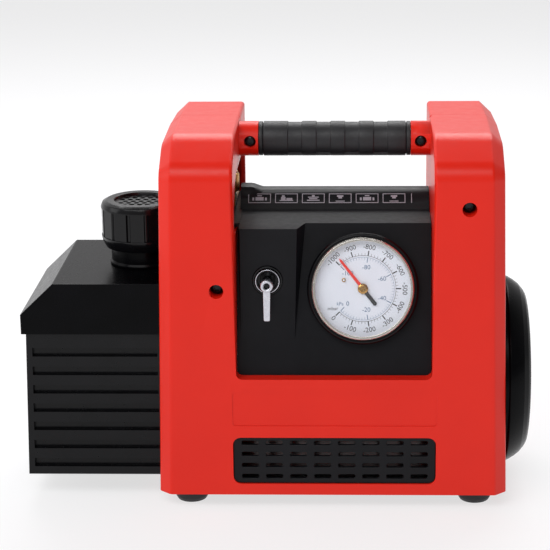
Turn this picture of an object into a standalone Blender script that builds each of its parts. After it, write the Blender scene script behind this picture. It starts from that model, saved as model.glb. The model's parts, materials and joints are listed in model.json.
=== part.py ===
"""Two-stage rotary vane vacuum pump in a red carrying housing.

Frame: metres, +Z up, front towards -Y, oil tank at -X and cooling fan at +X.
The origin is the centre of the pump's footprint on the ground.
Every dimension below is in millimetres; MM turns it into Blender's metres.
"""
import math

import bmesh
import bpy
from mathutils import Matrix, Vector

MM = 0.001
GAP = 0.3                     # clearance between pieces that touch

# Facets round a turned or round piece
FINE = 40
MEDIUM = 28
COARSE = 16

# Overall size
HALF_LENGTH = 196.75
FRONT_Y = -82.0
BACK_Y = 82.0
TOP_Z = 290.0
BOTTOM_Z = 12.0

# Red housing: two shells that meet on a seam behind the middle
SEAM_Y = 25.0
WALL = 3.2
SHOULDER_Z = 275.0
LEFT_SHOULDER_X = -86.8
RIGHT_SHOULDER_X = 172.8
DRAFT = 0.0225                # sideways growth of the outer walls per unit of drop
FRONT_TAPER = 0.012           # sideways growth of the outer walls from the front to the seam
REAR_TAPER = -0.03
CHAMFER_X = 8.8
CHAMFER_DEPTH = 7.9
HOOP_CORNERS = ((FRONT_Y, BOTTOM_Z), (BACK_Y, BOTTOM_Z), (BACK_Y, TOP_Z), (-49.0, TOP_Z), (FRONT_Y, 270.0))
HOOP_RADII = (0.0, 0.0, 2.0, 30.0, 18.0)
GAP_LEFT_X = -30.2
GAP_RIGHT_X = 119.2
SILL_Z = 106.4
WINDOW_CORNER_R = 5.0
LEDGE_Y = 71.3
TANK_DOOR_Y = 65.2
TANK_DOOR_Z = (17.0, 180.0)
ARCH_OUT_Y = 48.0
ARCH_OUT_TOP_Z = 246.0
ARCH_IN_Y = (-70.0, 72.0)
ARCH_IN_Z = (215.6, 257.5)
BADGE_X = (-33.4, 123.1)
BADGE_Z = (68.8, 96.2)
BADGE_DEPTH = 0.6
BADGE_CORNER_R = 2.7
GRILLE_X = (-33.5, 122.6)
GRILLE_Z = (21.0, 59.2)

# Screws that hold the two shells together: x, z
SHELL_SCREWS = {"left": (-44.0, 176.4), "right": (145.5, 239.9)}
SCREW_WELL_R = 5.6
SCREW_POST_R = 7.8

# Handle between the two pillars, axis along X
HANDLE_Y = 10.0
HANDLE_Z = 274.4
HANDLE_R = 13.6
GRIP_X = (-14.7, 103.7)
GRIP_LOW_R = 12.8
CORE_R = 8.0
HANDLE_SCREWS = {"left": -21.4, "right": 111.6}

# Instrument cowl
COWL_X = (-29.7, 118.7)
COWL_WALL = 3.0
PANEL_TILT = math.radians(15.0)
PANEL_FOOT = (-71.0, 106.4)
PANEL_HEIGHT = 116.2
SHELF_Z = 219.0
ROLL_Y = 17.0
ROLL_Z = 215.5
ROLL_R = 18.0
POD_FOOT = (-63.9, 132.0)
POD_TOP_Y = -58.6
POD_X = (-27.0, 16.4)

# Vacuum gauge on the tilted panel
GAUGE_X = 66.5
GAUGE_UP_PANEL = 66.5
GAUGE_R = 40.2
POINTER_ANGLE = math.radians(128.4)
POINTER_TIP = 28.6
POINTER_TAIL = 14.0

# Isolation valve
VALVE_X = -6.2
VALVE_Z = 179.0

# Rotating line: motor, fan and pump share one axis along X
SHAFT_Z = 88.0
SHAFT_R = 6.0
MOTOR_R = 56.0
FAN_R = 56.0
FAN_OPENING_R = 72.2
FAN_LIP_X = 179.2             # where the fan cover widens, clear of the wall outside it

# Oil tank
TANK_Y = 61.0
TANK_LEFT_TOP_X = -193.3
TANK_LEFT_FOOT_X = -196.2
TANK_RIGHT_X = -80.0
TANK_Z = (20.0, 135.9)
TANK_DRAFT = 0.025            # outward growth of the tank's left end per unit of drop
FIN_PITCH = 15.2
FIN_GROOVE = 7.0
FIN_DEPTH = 4.0
FIN_LAND = 4.6                # plain width beside each upright corner
FIN_RIGHT_X = -92.0
FIN_COUNT = 7
FIN_TOP_Z = 124.6
LID_Y = 64.0
LID_Z = (136.5, 177.0)
LID_CHAMFER_Z = 152.0
LID_TOP_LEFT_X = -170.7
CAP_X = -108.2
NECK_R = 24.6
NECK_Z = (LID_Z[1] + GAP, 205.0)
NECK_SHOULDER_Z = 190.9
THREAD_ROOT_R = 22.9          # the neck's thread at its root; the crests are left out
NECK_BORE_R = 20.0

# Inlet ports inside the left pillar
PORT_X = -43.0
# y, cap radius, stub radius, top
PORTS = {"large": (10.0, 12.0, 8.0, 247.0), "small": (38.0, 9.0, 5.8, 243.0)}
PORT_THREAD_DEPTH = 0.8       # the stubs are turned to the root of their threads
MANIFOLD_Z = (222.5, 232.0)
COLUMN_X = -62.0

# Two pumping stages inside the tank, from the bracket outwards
BRACKET_X = (-79.6, -55.0)
STAGES = {"high": (-128.0, -80.2), "low": (-162.0, -128.6)}
STATOR_R = 41.0
STATOR_BORE_R = 30.0
STATOR_BORE_LIFT = 4.0
ROTOR_R = 25.5
STAGE_END_WALL = 8.0
VANE_THICKNESS = 4.0

# Power inlet and switch on the back of the right pillar
INLET_X = 145.0
INLET_HALF_WIDTH = 14.0
INLET_Z = (160.3, 213.7)
SWITCH_Y = 74.0
SWITCH_Z = 198.5
ROCKER_TILT = math.radians(8.0)

AXES = {"X": Vector((1, 0, 0)), "Y": Vector((0, 1, 0)), "Z": Vector((0, 0, 1))}
# How an outline's own (u, v, normal) axes lie in the world when it is extruded along each axis
OUTLINE_FRAMES = {
    "X": Matrix(((0, 0, 1, 0), (1, 0, 0, 0), (0, 1, 0, 0), (0, 0, 0, 1))),
    "Y": Matrix(((1, 0, 0, 0), (0, 0, -1, 0), (0, 1, 0, 0), (0, 0, 0, 1))),
    "Z": Matrix.Identity(4),
}


# ---------------------------------------------------------------- scene and materials

def clear_scene():
    for leftover in list(bpy.data.objects):
        bpy.data.objects.remove(leftover, do_unlink=True)


def make_collection(name):
    collection = bpy.data.collections.new(name)
    bpy.context.scene.collection.children.link(collection)
    return collection


def make_material(name, color, roughness, metallic=0.0, alpha=1.0):
    material = bpy.data.materials.new(name)
    material.use_nodes = True
    shader = material.node_tree.nodes["Principled BSDF"]
    shader.inputs["Base Color"].default_value = (*color, 1.0)
    shader.inputs["Roughness"].default_value = roughness
    shader.inputs["Metallic"].default_value = metallic
    shader.inputs["Alpha"].default_value = alpha
    return material


clear_scene()
PARTS = make_collection("rotary_vane_vacuum_pump")
CUTTERS = make_collection("cutters")

RED = make_material("red_plastic", (0.75, 0.045, 0.02), 0.35)
BLACK = make_material("black_plastic", (0.02, 0.02, 0.023), 0.45)
RUBBER = make_material("black_rubber", (0.015, 0.015, 0.016), 0.75)
TANK_BLACK = make_material("black_paint", (0.01, 0.01, 0.012), 0.3)
CAST = make_material("cast_aluminium", (0.55, 0.55, 0.56), 0.5, 1.0)
IRON = make_material("cast_iron", (0.18, 0.18, 0.19), 0.6, 1.0)
STEEL = make_material("bright_steel", (0.7, 0.7, 0.72), 0.25, 1.0)
BLACK_STEEL = make_material("blackened_steel", (0.02, 0.02, 0.02), 0.3, 0.6)
BRASS = make_material("brass", (0.72, 0.5, 0.2), 0.3, 1.0)
COPPER = make_material("copper", (0.72, 0.33, 0.2), 0.35, 1.0)
GLASS = make_material("clear_glass", (0.9, 0.95, 0.95), 0.05, 0.0, 0.25)
DIAL_WHITE = make_material("dial_enamel", (0.85, 0.86, 0.86), 0.5)
POINTER_RED = make_material("pointer_red", (0.75, 0.03, 0.02), 0.4)
COMPOSITE = make_material("vane_composite", (0.09, 0.06, 0.04), 0.6)
FELT = make_material("filter_felt", (0.75, 0.72, 0.62), 0.9)


# ---------------------------------------------------------------- outlines (u, v) in millimetres

def inset_outline(corners, distance):
    """Moves each side of a counter-clockwise outline inwards by distance."""
    moved = []
    count = len(corners)
    for index, corner in enumerate(corners):
        before = Vector(corners[index - 1])
        here = Vector(corner)
        after = Vector(corners[(index + 1) % count])
        side_in = (here - before).normalized()
        side_out = (after - here).normalized()
        normal_in = Vector((-side_in.y, side_in.x))
        normal_out = Vector((-side_out.y, side_out.x))
        bisector = (normal_in + normal_out).normalized()
        moved.append(here + bisector * (distance / bisector.dot(normal_in)))
    return [tuple(point) for point in moved]


def round_corners(corners, radii, steps=6):
    """Replaces each corner that has a radius with an arc of the given number of steps."""
    points = []
    count = len(corners)
    for index, (corner, radius) in enumerate(zip(corners, radii)):
        here = Vector(corner)
        if radius <= 0.0:
            points.append(tuple(here))
            continue
        back = (Vector(corners[index - 1]) - here).normalized()
        ahead = (Vector(corners[(index + 1) % count]) - here).normalized()
        half_angle = back.angle(ahead) / 2
        center = here + (back + ahead).normalized() * (radius / math.sin(half_angle))
        start = here + back * (radius / math.tan(half_angle)) - center
        sweep = math.pi - 2 * half_angle
        turn = 1.0 if back.x * ahead.y - back.y * ahead.x < 0 else -1.0
        for step in range(steps + 1):
            angle = turn * sweep * step / steps
            rotated = Vector((start.x * math.cos(angle) - start.y * math.sin(angle),
                              start.x * math.sin(angle) + start.y * math.cos(angle)))
            points.append(tuple(center + rotated))
    return points


def rectangle(u_range, v_range, radius=0.0, steps=4):
    corners = [(u_range[0], v_range[0]), (u_range[1], v_range[0]),
               (u_range[1], v_range[1]), (u_range[0], v_range[1])]
    return round_corners(corners, (radius,) * 4, steps)


def arc(center, radius, start_degrees, end_degrees, steps):
    points = []
    for step in range(steps + 1):
        angle = math.radians(start_degrees + (end_degrees - start_degrees) * step / steps)
        points.append((center[0] + radius * math.cos(angle), center[1] + radius * math.sin(angle)))
    return points


def hoop(inset):
    """Side outline (y, z) of the housing, drawn in at the front, top and back."""
    corners = [(y, z - inset if z == BOTTOM_Z else z) for y, z in HOOP_CORNERS]
    radii = [max(radius - inset, 1.0) if radius else 0.0 for radius in HOOP_RADII]
    return round_corners(inset_outline(corners, inset), radii)


def cowl_outline():
    """Side outline (y, z) of the cowl: tilted panel, shelf, rounded roll and sloping back."""
    edge_y = PANEL_FOOT[0] + PANEL_HEIGHT * math.sin(PANEL_TILT)
    roll = arc((ROLL_Y, ROLL_Z), ROLL_R, 45, 168, 8)
    rear = [(-PANEL_FOOT[0], 99.0), (-PANEL_FOOT[0], 112.0), (48.0, 210.0)]
    front = [(edge_y, SHELF_Z), PANEL_FOOT, (PANEL_FOOT[0], 99.0)]
    return rear + roll + front


def cowl_cavity_outline(inset):
    points = inset_outline(cowl_outline(), inset)
    return [(y, z - 4 * inset if z < SILL_Z else z) for y, z in points]


# ---------------------------------------------------------------- solids

def add_object(name, mesh, material, collection=None):
    part = bpy.data.objects.new(name, mesh)
    (collection or PARTS).objects.link(part)
    if material:
        mesh.materials.append(material)
    return part


def mesh_object(name, bm, material):
    bmesh.ops.recalc_face_normals(bm, faces=bm.faces)
    mesh = bpy.data.meshes.new(name)
    bm.to_mesh(mesh)
    bm.free()
    return add_object(name, mesh, material)


def smooth(part, degrees=35):
    part.data.shade_smooth()
    part.data.set_sharp_from_angle(angle=math.radians(degrees))
    return part


def box(name, low, high, material=None):
    """Box between two corners, with its origin at its centre."""
    size = [(b - a) * MM for a, b in zip(low, high)]
    center = Vector([(a + b) / 2 * MM for a, b in zip(low, high)])
    bm = bmesh.new()
    bmesh.ops.create_cube(bm, size=1.0, matrix=Matrix.Diagonal((*size, 1.0)))
    part = mesh_object(name, bm, material)
    part.matrix_world = Matrix.Translation(center)
    return part


def rod(name, start, end, radius, material=None, sides=MEDIUM):
    """Solid cylinder between two points, with its origin at its middle."""
    start = Vector(start) * MM
    end = Vector(end) * MM
    bm = bmesh.new()
    bmesh.ops.create_cone(bm, cap_ends=True, segments=sides, radius1=radius * MM,
                          radius2=radius * MM, depth=(end - start).length)
    part = mesh_object(name, bm, material)
    part.matrix_world = Matrix.Translation((start + end) / 2) @ aim(end - start)
    return smooth(part)


def aim(direction):
    """Rotation that turns +Z to a direction."""
    return Vector(direction).to_track_quat("Z", "Y").to_matrix().to_4x4()


def turned(name, profile, place, direction, material, steps=MEDIUM):
    """Solid of revolution: profile of (radius, height) from the top, down the outer side."""
    mesh = bpy.data.meshes.new(name)
    on_axis = profile[0][0] == 0.0
    count = len(profile)
    edges = [(index, index + 1) for index in range(count - 1)]
    if not on_axis:
        edges.append((count - 1, 0))
    mesh.from_pydata([(radius * MM, 0.0, height * MM) for radius, height in profile], edges, [])
    part = add_object(name, mesh, material)
    screw = part.modifiers.new("turn", "SCREW")
    screw.steps = steps
    screw.render_steps = steps
    screw.use_merge_vertices = True
    screw.merge_threshold = 0.00001
    screw.use_smooth_shade = True
    part.matrix_world = Matrix.Translation(Vector(place) * MM) @ aim(direction)
    return part


def extruded(name, outlines, axis, low, high, material=None):
    """Flat outline, with any inner outlines as holes, extruded along a world axis."""
    curve = bpy.data.curves.new(name, "CURVE")
    curve.dimensions = "2D"
    curve.fill_mode = "BOTH"
    curve.extrude = (high - low) / 2 * MM
    for outline in outlines:
        spline = curve.splines.new("POLY")
        spline.points.add(len(outline) - 1)
        for point, (u, v) in zip(spline.points, outline):
            point.co = (u * MM, v * MM, 0.0, 1.0)
        spline.use_cyclic_u = True
    holder = bpy.data.objects.new(name + "_outline", curve)
    PARTS.objects.link(holder)
    middle = AXES[axis] * ((low + high) / 2 * MM)
    holder.matrix_world = Matrix.Translation(middle) @ OUTLINE_FRAMES[axis]
    bpy.context.view_layer.update()
    mesh = bpy.data.meshes.new_from_object(holder.evaluated_get(bpy.context.evaluated_depsgraph_get()))
    bm = bmesh.new()
    bm.from_mesh(mesh)
    bmesh.ops.remove_doubles(bm, verts=bm.verts, dist=0.000001)
    part = mesh_object(name, bm, material)
    part.matrix_world = holder.matrix_world
    bpy.data.objects.remove(holder, do_unlink=True)
    return part


def hull(name, points, material=None):
    bm = bmesh.new()
    for point in points:
        bm.verts.new(Vector(point) * MM)
    shell = bmesh.ops.convex_hull(bm, input=bm.verts)
    spare = [item for item in shell["geom_interior"] if isinstance(item, bmesh.types.BMVert)]
    bmesh.ops.delete(bm, geom=spare, context="VERTS")
    return mesh_object(name, bm, material)


def loft(name, rings, material=None):
    """Closed skin over a row of rings that have the same number of points."""
    bm = bmesh.new()
    rows = [[bm.verts.new(Vector(point) * MM) for point in ring] for ring in rings]
    for row, following in zip(rows, rows[1:]):
        for index in range(len(row)):
            other = (index + 1) % len(row)
            bm.faces.new((row[index], row[other], following[other], following[index]))
    bm.faces.new(rows[0])
    bm.faces.new(rows[-1])
    return mesh_object(name, bm, material)


def combine(target, tool, operation):
    for collection in list(tool.users_collection):
        collection.objects.unlink(tool)
    CUTTERS.objects.link(tool)
    tool.name = target.name + "_" + operation.lower() + "_" + str(len(target.modifiers))
    tool.hide_render = True
    tool.display_type = "WIRE"
    modifier = target.modifiers.new(tool.name, "BOOLEAN")
    modifier.operation = operation
    modifier.solver = "EXACT"
    modifier.object = tool
    return target


def cut(target, *tools):
    for tool in tools:
        combine(target, tool, "DIFFERENCE")
    return target


def join(target, *tools):
    for tool in tools:
        combine(target, tool, "UNION")
    return target


def set_origin(part, place):
    """Moves a part's origin without moving the part."""
    shift = part.matrix_world.inverted() @ (Vector(place) * MM)
    part.data.transform(Matrix.Translation(-shift))
    part.matrix_world = part.matrix_world @ Matrix.Translation(shift)
    return part


# ---------------------------------------------------------------- red housing

def side_point(shoulder_x, y, z, inward, taper):
    """Point on a drafted outer side wall, moved inwards by a distance."""
    outward = -1.0 if shoulder_x < 0 else 1.0
    growth = DRAFT * (SHOULDER_Z - z) + taper * (y - SEAM_Y)
    return (shoulder_x + outward * (growth - inward), y, z)


def housing_body(name, sections, taper, material=None):
    """Hoop outline swept from the left wall to the right one; sections are (inward, inset)."""
    rings = []
    for inward, inset in sections:
        rings.append([side_point(LEFT_SHOULDER_X, y, z, inward, taper) for y, z in hoop(inset)])
    for inward, inset in reversed(sections):
        rings.append([side_point(RIGHT_SHOULDER_X, y, z, inward, taper) for y, z in hoop(inset)])
    return loft(name, rings, material)


def housing_cavity(taper):
    """Hollow of the pillars and the lower body, open at the bottom."""
    sections = ((WALL, CHAMFER_DEPTH + 1.0), (CHAMFER_X + 1.6, WALL))
    cavity = housing_body("cavity", sections, taper)
    cavity.location.z = -WALL * MM
    between = box("between", (GAP_LEFT_X - WALL, -100, SILL_Z - WALL), (GAP_RIGHT_X + WALL, 100, 320))
    return cut(cavity, between)


def under_cowl_space():
    """Clears the sill slab and the pillars' inner walls underneath the cowl."""
    slope = cowl_cavity_outline(4.4)
    shoulders = [point for point in slope if point[1] > SILL_Z]
    outline = [(LEDGE_Y, 60.0), (LEDGE_Y, SILL_Z + GAP)] + shoulders
    outline += [(-LEDGE_Y, SILL_Z + GAP), (-LEDGE_Y, 60.0)]
    return extruded("under_cowl", [outline], "X", GAP_LEFT_X - WALL - 0.2, GAP_RIGHT_X + WALL + 0.2)


def screw_post(side, start_y, end_y):
    x, z = SHELL_SCREWS[side]
    return rod("post", (x, start_y, z), (x, end_y, z), SCREW_POST_R, sides=COARSE)


def screw_bore(side, start_y, end_y, radius):
    x, z = SHELL_SCREWS[side]
    return rod("bore", (x, start_y, z), (x, end_y, z), radius, sides=COARSE)


def left_wall_opening():
    """Tank doorway with the port arch above it, through the left pillar's outer wall."""
    corners = [(-TANK_DOOR_Y, TANK_DOOR_Z[0]), (TANK_DOOR_Y, TANK_DOOR_Z[0]),
               (TANK_DOOR_Y, TANK_DOOR_Z[1]), (ARCH_OUT_Y, TANK_DOOR_Z[1]),
               (ARCH_OUT_Y, ARCH_OUT_TOP_Z), (-ARCH_OUT_Y, ARCH_OUT_TOP_Z),
               (-ARCH_OUT_Y, TANK_DOOR_Z[1]), (-TANK_DOOR_Y, TANK_DOOR_Z[1])]
    outline = round_corners(corners, (0, 0, 0, 0, 25.0, 25.0, 0, 0))
    return extruded("left_opening", [outline], "X", -100.0, -76.0)


def inner_arch():
    """Opening in the left pillar's inner wall, over the inlet ports."""
    corners = [(ARCH_IN_Y[0], ARCH_IN_Z[0]), (ARCH_IN_Y[1], ARCH_IN_Z[0]),
               (ARCH_IN_Y[1], ARCH_IN_Z[1]), (ARCH_IN_Y[0], ARCH_IN_Z[1])]
    outline = round_corners(corners, (0, 0, 12.0, 34.0), 8)
    return extruded("inner_arch", [outline], "X", GAP_LEFT_X - WALL - 1.0, GAP_LEFT_X + 1.0)


def fan_opening():
    return rod("fan_opening", (160, 0, SHAFT_Z), (190, 0, SHAFT_Z), FAN_OPENING_R, sides=FINE)


def pillar_gap():
    """Space between the pillars; its lower corners are rounded only ahead of the cowl."""
    corners = rectangle((GAP_LEFT_X, GAP_RIGHT_X), (SILL_Z, 320))
    window = round_corners(corners, (WINDOW_CORNER_R, WINDOW_CORNER_R, 0, 0), 5)
    return (extruded("window", [window], "Y", -100, 100),
            box("gap", (GAP_LEFT_X, -LEDGE_Y, SILL_Z), (GAP_RIGHT_X, 100, 320)))


def housing_with_openings(name, taper):
    shell = housing_body(name, ((0.0, CHAMFER_DEPTH), (CHAMFER_X, 0.0)), taper, RED)
    return cut(shell, *pillar_gap(), housing_cavity(taper), under_cowl_space(), left_wall_opening(),
               inner_arch(), fan_opening())


def handle_boss(inner_x, outer_x):
    return rod("boss", (outer_x, HANDLE_Y, HANDLE_Z), (inner_x, HANDLE_Y, HANDLE_Z), HANDLE_R)


def make_front_shell():
    shell = housing_with_openings("front_shell", FRONT_TAPER)
    cut(shell, box("behind_seam", (-120, SEAM_Y - GAP / 2, 0), (200, 100, 320)))
    join(shell, handle_boss(GRIP_X[0] - GAP, GAP_LEFT_X - 1.0),
         handle_boss(GRIP_X[1] + GAP, GAP_RIGHT_X + 1.0))
    cut(shell, rod("core_seat", (-27.6, HANDLE_Y, HANDLE_Z), (116.4, HANDLE_Y, HANDLE_Z), CORE_R + GAP))
    for x in HANDLE_SCREWS.values():
        well = rod("handle_well", (x, -30, HANDLE_Z), (x, HANDLE_Y - CORE_R, HANDLE_Z), 4.7, sides=COARSE)
        cut(shell, well)
    for side in SHELL_SCREWS:
        join(shell, screw_post(side, FRONT_Y + 1.5, SEAM_Y - GAP / 2))
        cut(shell, screw_bore(side, FRONT_Y - 2.0, -68.0, SCREW_WELL_R),
            screw_bore(side, -70.0, SEAM_Y + 2.0, 2.4))
    badge = rectangle(BADGE_X, BADGE_Z, BADGE_CORNER_R)
    cut(shell, extruded("badge", [badge], "Y", -90.0, FRONT_Y + BADGE_DEPTH))
    grille_hole = rectangle(GRILLE_X, GRILLE_Z, 6.0)
    cut(shell, extruded("grille_hole", [grille_hole], "Y", -90.0, -70.0))
    return shell


def make_rear_shell():
    shell = housing_with_openings("rear_shell", REAR_TAPER)
    cut(shell, box("ahead_of_seam", (-120, -100, 0), (200, SEAM_Y + GAP / 2, 320)))
    for side in SHELL_SCREWS:
        join(shell, screw_post(side, SEAM_Y + GAP / 2, BACK_Y - 1.5))
        cut(shell, screw_bore(side, SEAM_Y - 2.0, 60.0, 2.4))
    inlet_hole = rectangle((INLET_X - INLET_HALF_WIDTH - GAP, INLET_X + INLET_HALF_WIDTH + GAP),
                           (INLET_Z[0] - GAP, INLET_Z[1] + GAP))
    cut(shell, extruded("inlet_hole", [inlet_hole], "Y", 70.0, 90.0))
    for row in range(3):
        for column in range(8):
            x = -20.0 + 18.6 * column
            z = 32.0 + 10.0 * row
            cut(shell, box("rear_slot", (x - 6.3, 70, z - 2), (x + 6.3, 90, z + 2)))
    return shell


def make_base():
    box("base_plate", (-80.0, -73.0, BOTTOM_Z), (164.0, 73.0, BOTTOM_Z + 3.0), BLACK_STEEL)
    foot_profile = [(0, 11.7), (13, 11.7), (13, 3), (11, 0), (0, 0)]
    for number, (x, y) in enumerate(((-68, -58), (-68, 58), (154, -58), (154, 58)), start=1):
        turned("foot_" + str(number), foot_profile, (x, y, 0), (0, 0, 1), RUBBER, COARSE)


def make_front_grille():
    rows = 4
    columns = 8
    outlines = [rectangle((GRILLE_X[0] + GAP, GRILLE_X[1] - GAP),
                          (GRILLE_Z[0] + GAP, GRILLE_Z[1] - GAP), 5.7)]
    for row in range(rows):
        for column in range(columns):
            x = -20.3 + 18.6 * column
            z = 54.4 - 9.2 * row
            outlines.append(rectangle((x - 6.6, x + 6.6), (z - 1.75, z + 1.75)))
    extruded("front_grille", outlines, "Y", FRONT_Y + 1.4, FRONT_Y + 4.4, BLACK)


# ---------------------------------------------------------------- handle and screws

def make_handle():
    x0, x1 = GRIP_X
    core = rod("handle_core", (-27.3, HANDLE_Y, HANDLE_Z), (116.1, HANDLE_Y, HANDLE_Z), CORE_R, STEEL)
    cut(core, rod("core_bore", (-40, HANDLE_Y, HANDLE_Z), (130, HANDLE_Y, HANDLE_Z), CORE_R - 1.8))
    for x in HANDLE_SCREWS.values():
        cut(core, rod("pilot", (x, -5, HANDLE_Z), (x, HANDLE_Y, HANDLE_Z), 2.3, sides=8))
    profile = [(HANDLE_R, x1), (HANDLE_R, x1 - 17.5)]
    for band in range(4):
        top = x1 - 17.5 - 22.3 * band
        profile += [(GRIP_LOW_R, top - 0.6), (GRIP_LOW_R, top - 10.9), (HANDLE_R, top - 11.5)]
        if band < 3:
            profile.append((HANDLE_R, top - 22.3))
    profile += [(HANDLE_R, x0), (CORE_R + GAP, x0), (CORE_R + GAP, x1)]
    turned("handle_grip", profile, (0, HANDLE_Y, HANDLE_Z), (1, 0, 0), RUBBER)
    head_y = HANDLE_Y - CORE_R - GAP
    for side, x in HANDLE_SCREWS.items():
        screw_profile = [(0, 3.2), (3.4, 3.0), (4.4, 1.6), (4.4, 0), (2.0, 0), (2.0, -7.5), (0, -7.5)]
        turned("handle_screw_" + side, screw_profile, (x, head_y, HANDLE_Z), (0, -1, 0), BLACK_STEEL,
               COARSE)


def make_shell_screws():
    profile = [(0, 3.4), (3.6, 3.0), (5.2, 1.4), (5.2, 0), (2.0, 0), (2.0, -104), (0, -104)]
    for side, (x, z) in SHELL_SCREWS.items():
        turned("shell_screw_" + side, profile, (x, -68.0 - GAP, z), (0, -1, 0), BLACK_STEEL, COARSE)


# ---------------------------------------------------------------- cowl, gauge and valve

def panel_point(x, up_panel, height):
    """Point on the tilted panel, up_panel along it and height in front of it."""
    y = PANEL_FOOT[0] + up_panel * math.sin(PANEL_TILT) - height * math.cos(PANEL_TILT)
    z = PANEL_FOOT[1] + up_panel * math.cos(PANEL_TILT) + height * math.sin(PANEL_TILT)
    return (x, y, z)


PANEL_NORMAL = (0.0, -math.cos(PANEL_TILT), math.sin(PANEL_TILT))
GAUGE_CENTER = panel_point(GAUGE_X, GAUGE_UP_PANEL, 0.0)


def valve_pod():
    """Upright block on the panel's left end that carries the valve."""
    x0, x1 = POD_X
    back_y = -30.0
    front = [(x0, *POD_FOOT), (x1 - 2.0, *POD_FOOT), (x0, POD_TOP_Y, SHELF_Z), (x1, POD_TOP_Y, SHELF_Z)]
    back = [(x0 - 2.6, back_y, POD_FOOT[1] + 4), (x1, back_y, POD_FOOT[1] + 4),
            (x0 - 2.6, -40.0, SHELF_Z), (x1 + 6.3, -40.0, SHELF_Z),
            (x0 - 2.6, back_y, SHELF_Z - 6), (x1 + 6.3, back_y, SHELF_Z - 6)]
    return hull("pod", front + back)


def collar_ring(x, rise):
    """Ring of the collar: it stands proud over the roll's top and runs out before its front."""
    ring = [(x, ROLL_Y, ROLL_Z - 2.0)]
    for degrees in range(40, 141, 10):
        share = min(max((128.0 - degrees) / 16.0, 0.0), 1.0)
        radius = ROLL_R - 0.3 + (rise + 0.3) * share * share * (3.0 - 2.0 * share)
        angle = math.radians(degrees)
        ring.append((x, ROLL_Y + radius * math.cos(angle), ROLL_Z + radius * math.sin(angle)))
    return ring


def roll_collar():
    """Collar that blends into the left end of the roll."""
    rises = ((COWL_X[0], 2.8), (-22.0, 2.8), (-19.5, 2.4), (-16.5, 1.3), (-13.5, 0.3), (-11.0, -0.2))
    return loft("collar", [collar_ring(x, rise) for x, rise in rises])


def make_cowl():
    cowl = extruded("instrument_cowl", [cowl_outline()], "X", COWL_X[0], COWL_X[1], BLACK)
    join(cowl, valve_pod(), roll_collar())
    inside = extruded("inside", [cowl_cavity_outline(COWL_WALL)], "X", COWL_X[0] - 5, COWL_X[1] + 5)
    cut(cowl, inside)
    join(cowl, box("port_deck", (-66.0, -44.0, 217.0), (COWL_X[0] + 2.0, 60.0, 219.6)))
    cut(cowl, rod("column_hole", (COLUMN_X, 10, 210), (COLUMN_X, 10, 226), 9.0))
    behind = Vector(GAUGE_CENTER) - Vector(PANEL_NORMAL) * 12
    ahead = Vector(GAUGE_CENTER) + Vector(PANEL_NORMAL) * 12
    cut(cowl, rod("gauge_hole", behind, ahead, 38.3, sides=FINE))
    cut(cowl, rod("seat_pocket", (VALVE_X, -80, VALVE_Z), (VALVE_X, -57.4, VALVE_Z), 11.8),
        rod("valve_hole", (VALVE_X, -60, VALVE_Z), (VALVE_X, -20, VALVE_Z), 9.9))
    return cowl


def gauge_turned(name, profile, material, steps=FINE):
    return turned(name, profile, GAUGE_CENTER, PANEL_NORMAL, material, steps)


def gauge_frame():
    """Matrix from the dial's own plane (x right, y up the panel) to the world."""
    right = Vector((1, 0, 0))
    up = Vector((0, math.sin(PANEL_TILT), math.cos(PANEL_TILT)))
    normal = Vector(PANEL_NORMAL)
    rotation = Matrix((right, up, normal)).transposed().to_4x4()
    return Matrix.Translation(Vector(GAUGE_CENTER) * MM) @ rotation


def make_pointer():
    """Pointer blade with its hub; the object's origin is on the dial's axis."""
    blade = [(-POINTER_TAIL, -1.5), (0, -1.3), (POINTER_TIP, -0.35), (POINTER_TIP, 0.35),
             (0, 1.3), (-POINTER_TAIL, 1.5)]
    pointer = extruded("gauge_pointer", [blade], "Z", 6.0, 6.7, POINTER_RED)
    join(pointer, rod("hub", (0, 0, 5.5), (0, 0, 7.8), 4.0))
    set_origin(pointer, (0, 0, 0))
    pointer.matrix_world = gauge_frame() @ Matrix.Rotation(POINTER_ANGLE, 4, "Z")
    for modifier in pointer.modifiers:
        modifier.object.matrix_world = pointer.matrix_world @ modifier.object.matrix_world
    return pointer


def make_gauge():
    case = [(35.6, 4.0), (37.6, 4.0), (37.6, 6.7), (39.4, 6.7), (39.4, 3.4), (42.7, 3.4), (42.7, 0.4),
            (37.8, 0.4), (37.8, -20.0), (0, -20.0)]
    gauge_turned("gauge_case", [(0, -18.4), (35.6, -18.4)] + case, BLACK_STEEL)
    bezel = [(35.7, 12.2), (39.2, 12.2), (GAUGE_R, 11.2), (GAUGE_R, 7.0), (38.4, 7.0), (38.4, 10.5),
             (35.7, 10.5)]
    gauge_turned("gauge_bezel", bezel, STEEL)
    gauge_turned("gauge_lens", [(0, 10.2), (38.1, 10.2), (38.1, 8.4), (0, 8.4)], GLASS)
    dial = gauge_turned("gauge_dial", [(0, 5.1), (37.3, 5.1), (37.3, 4.3), (0, 4.3)], DIAL_WHITE)
    pin_foot = gauge_frame() @ (Vector((-14.6, 6.5, 4.7)) * MM) / MM
    pin_top = gauge_frame() @ (Vector((-14.6, 6.5, 7.2)) * MM) / MM
    join(dial, rod("stop_pin", pin_foot, pin_top, 0.8, sides=8))
    make_pointer()


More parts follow.
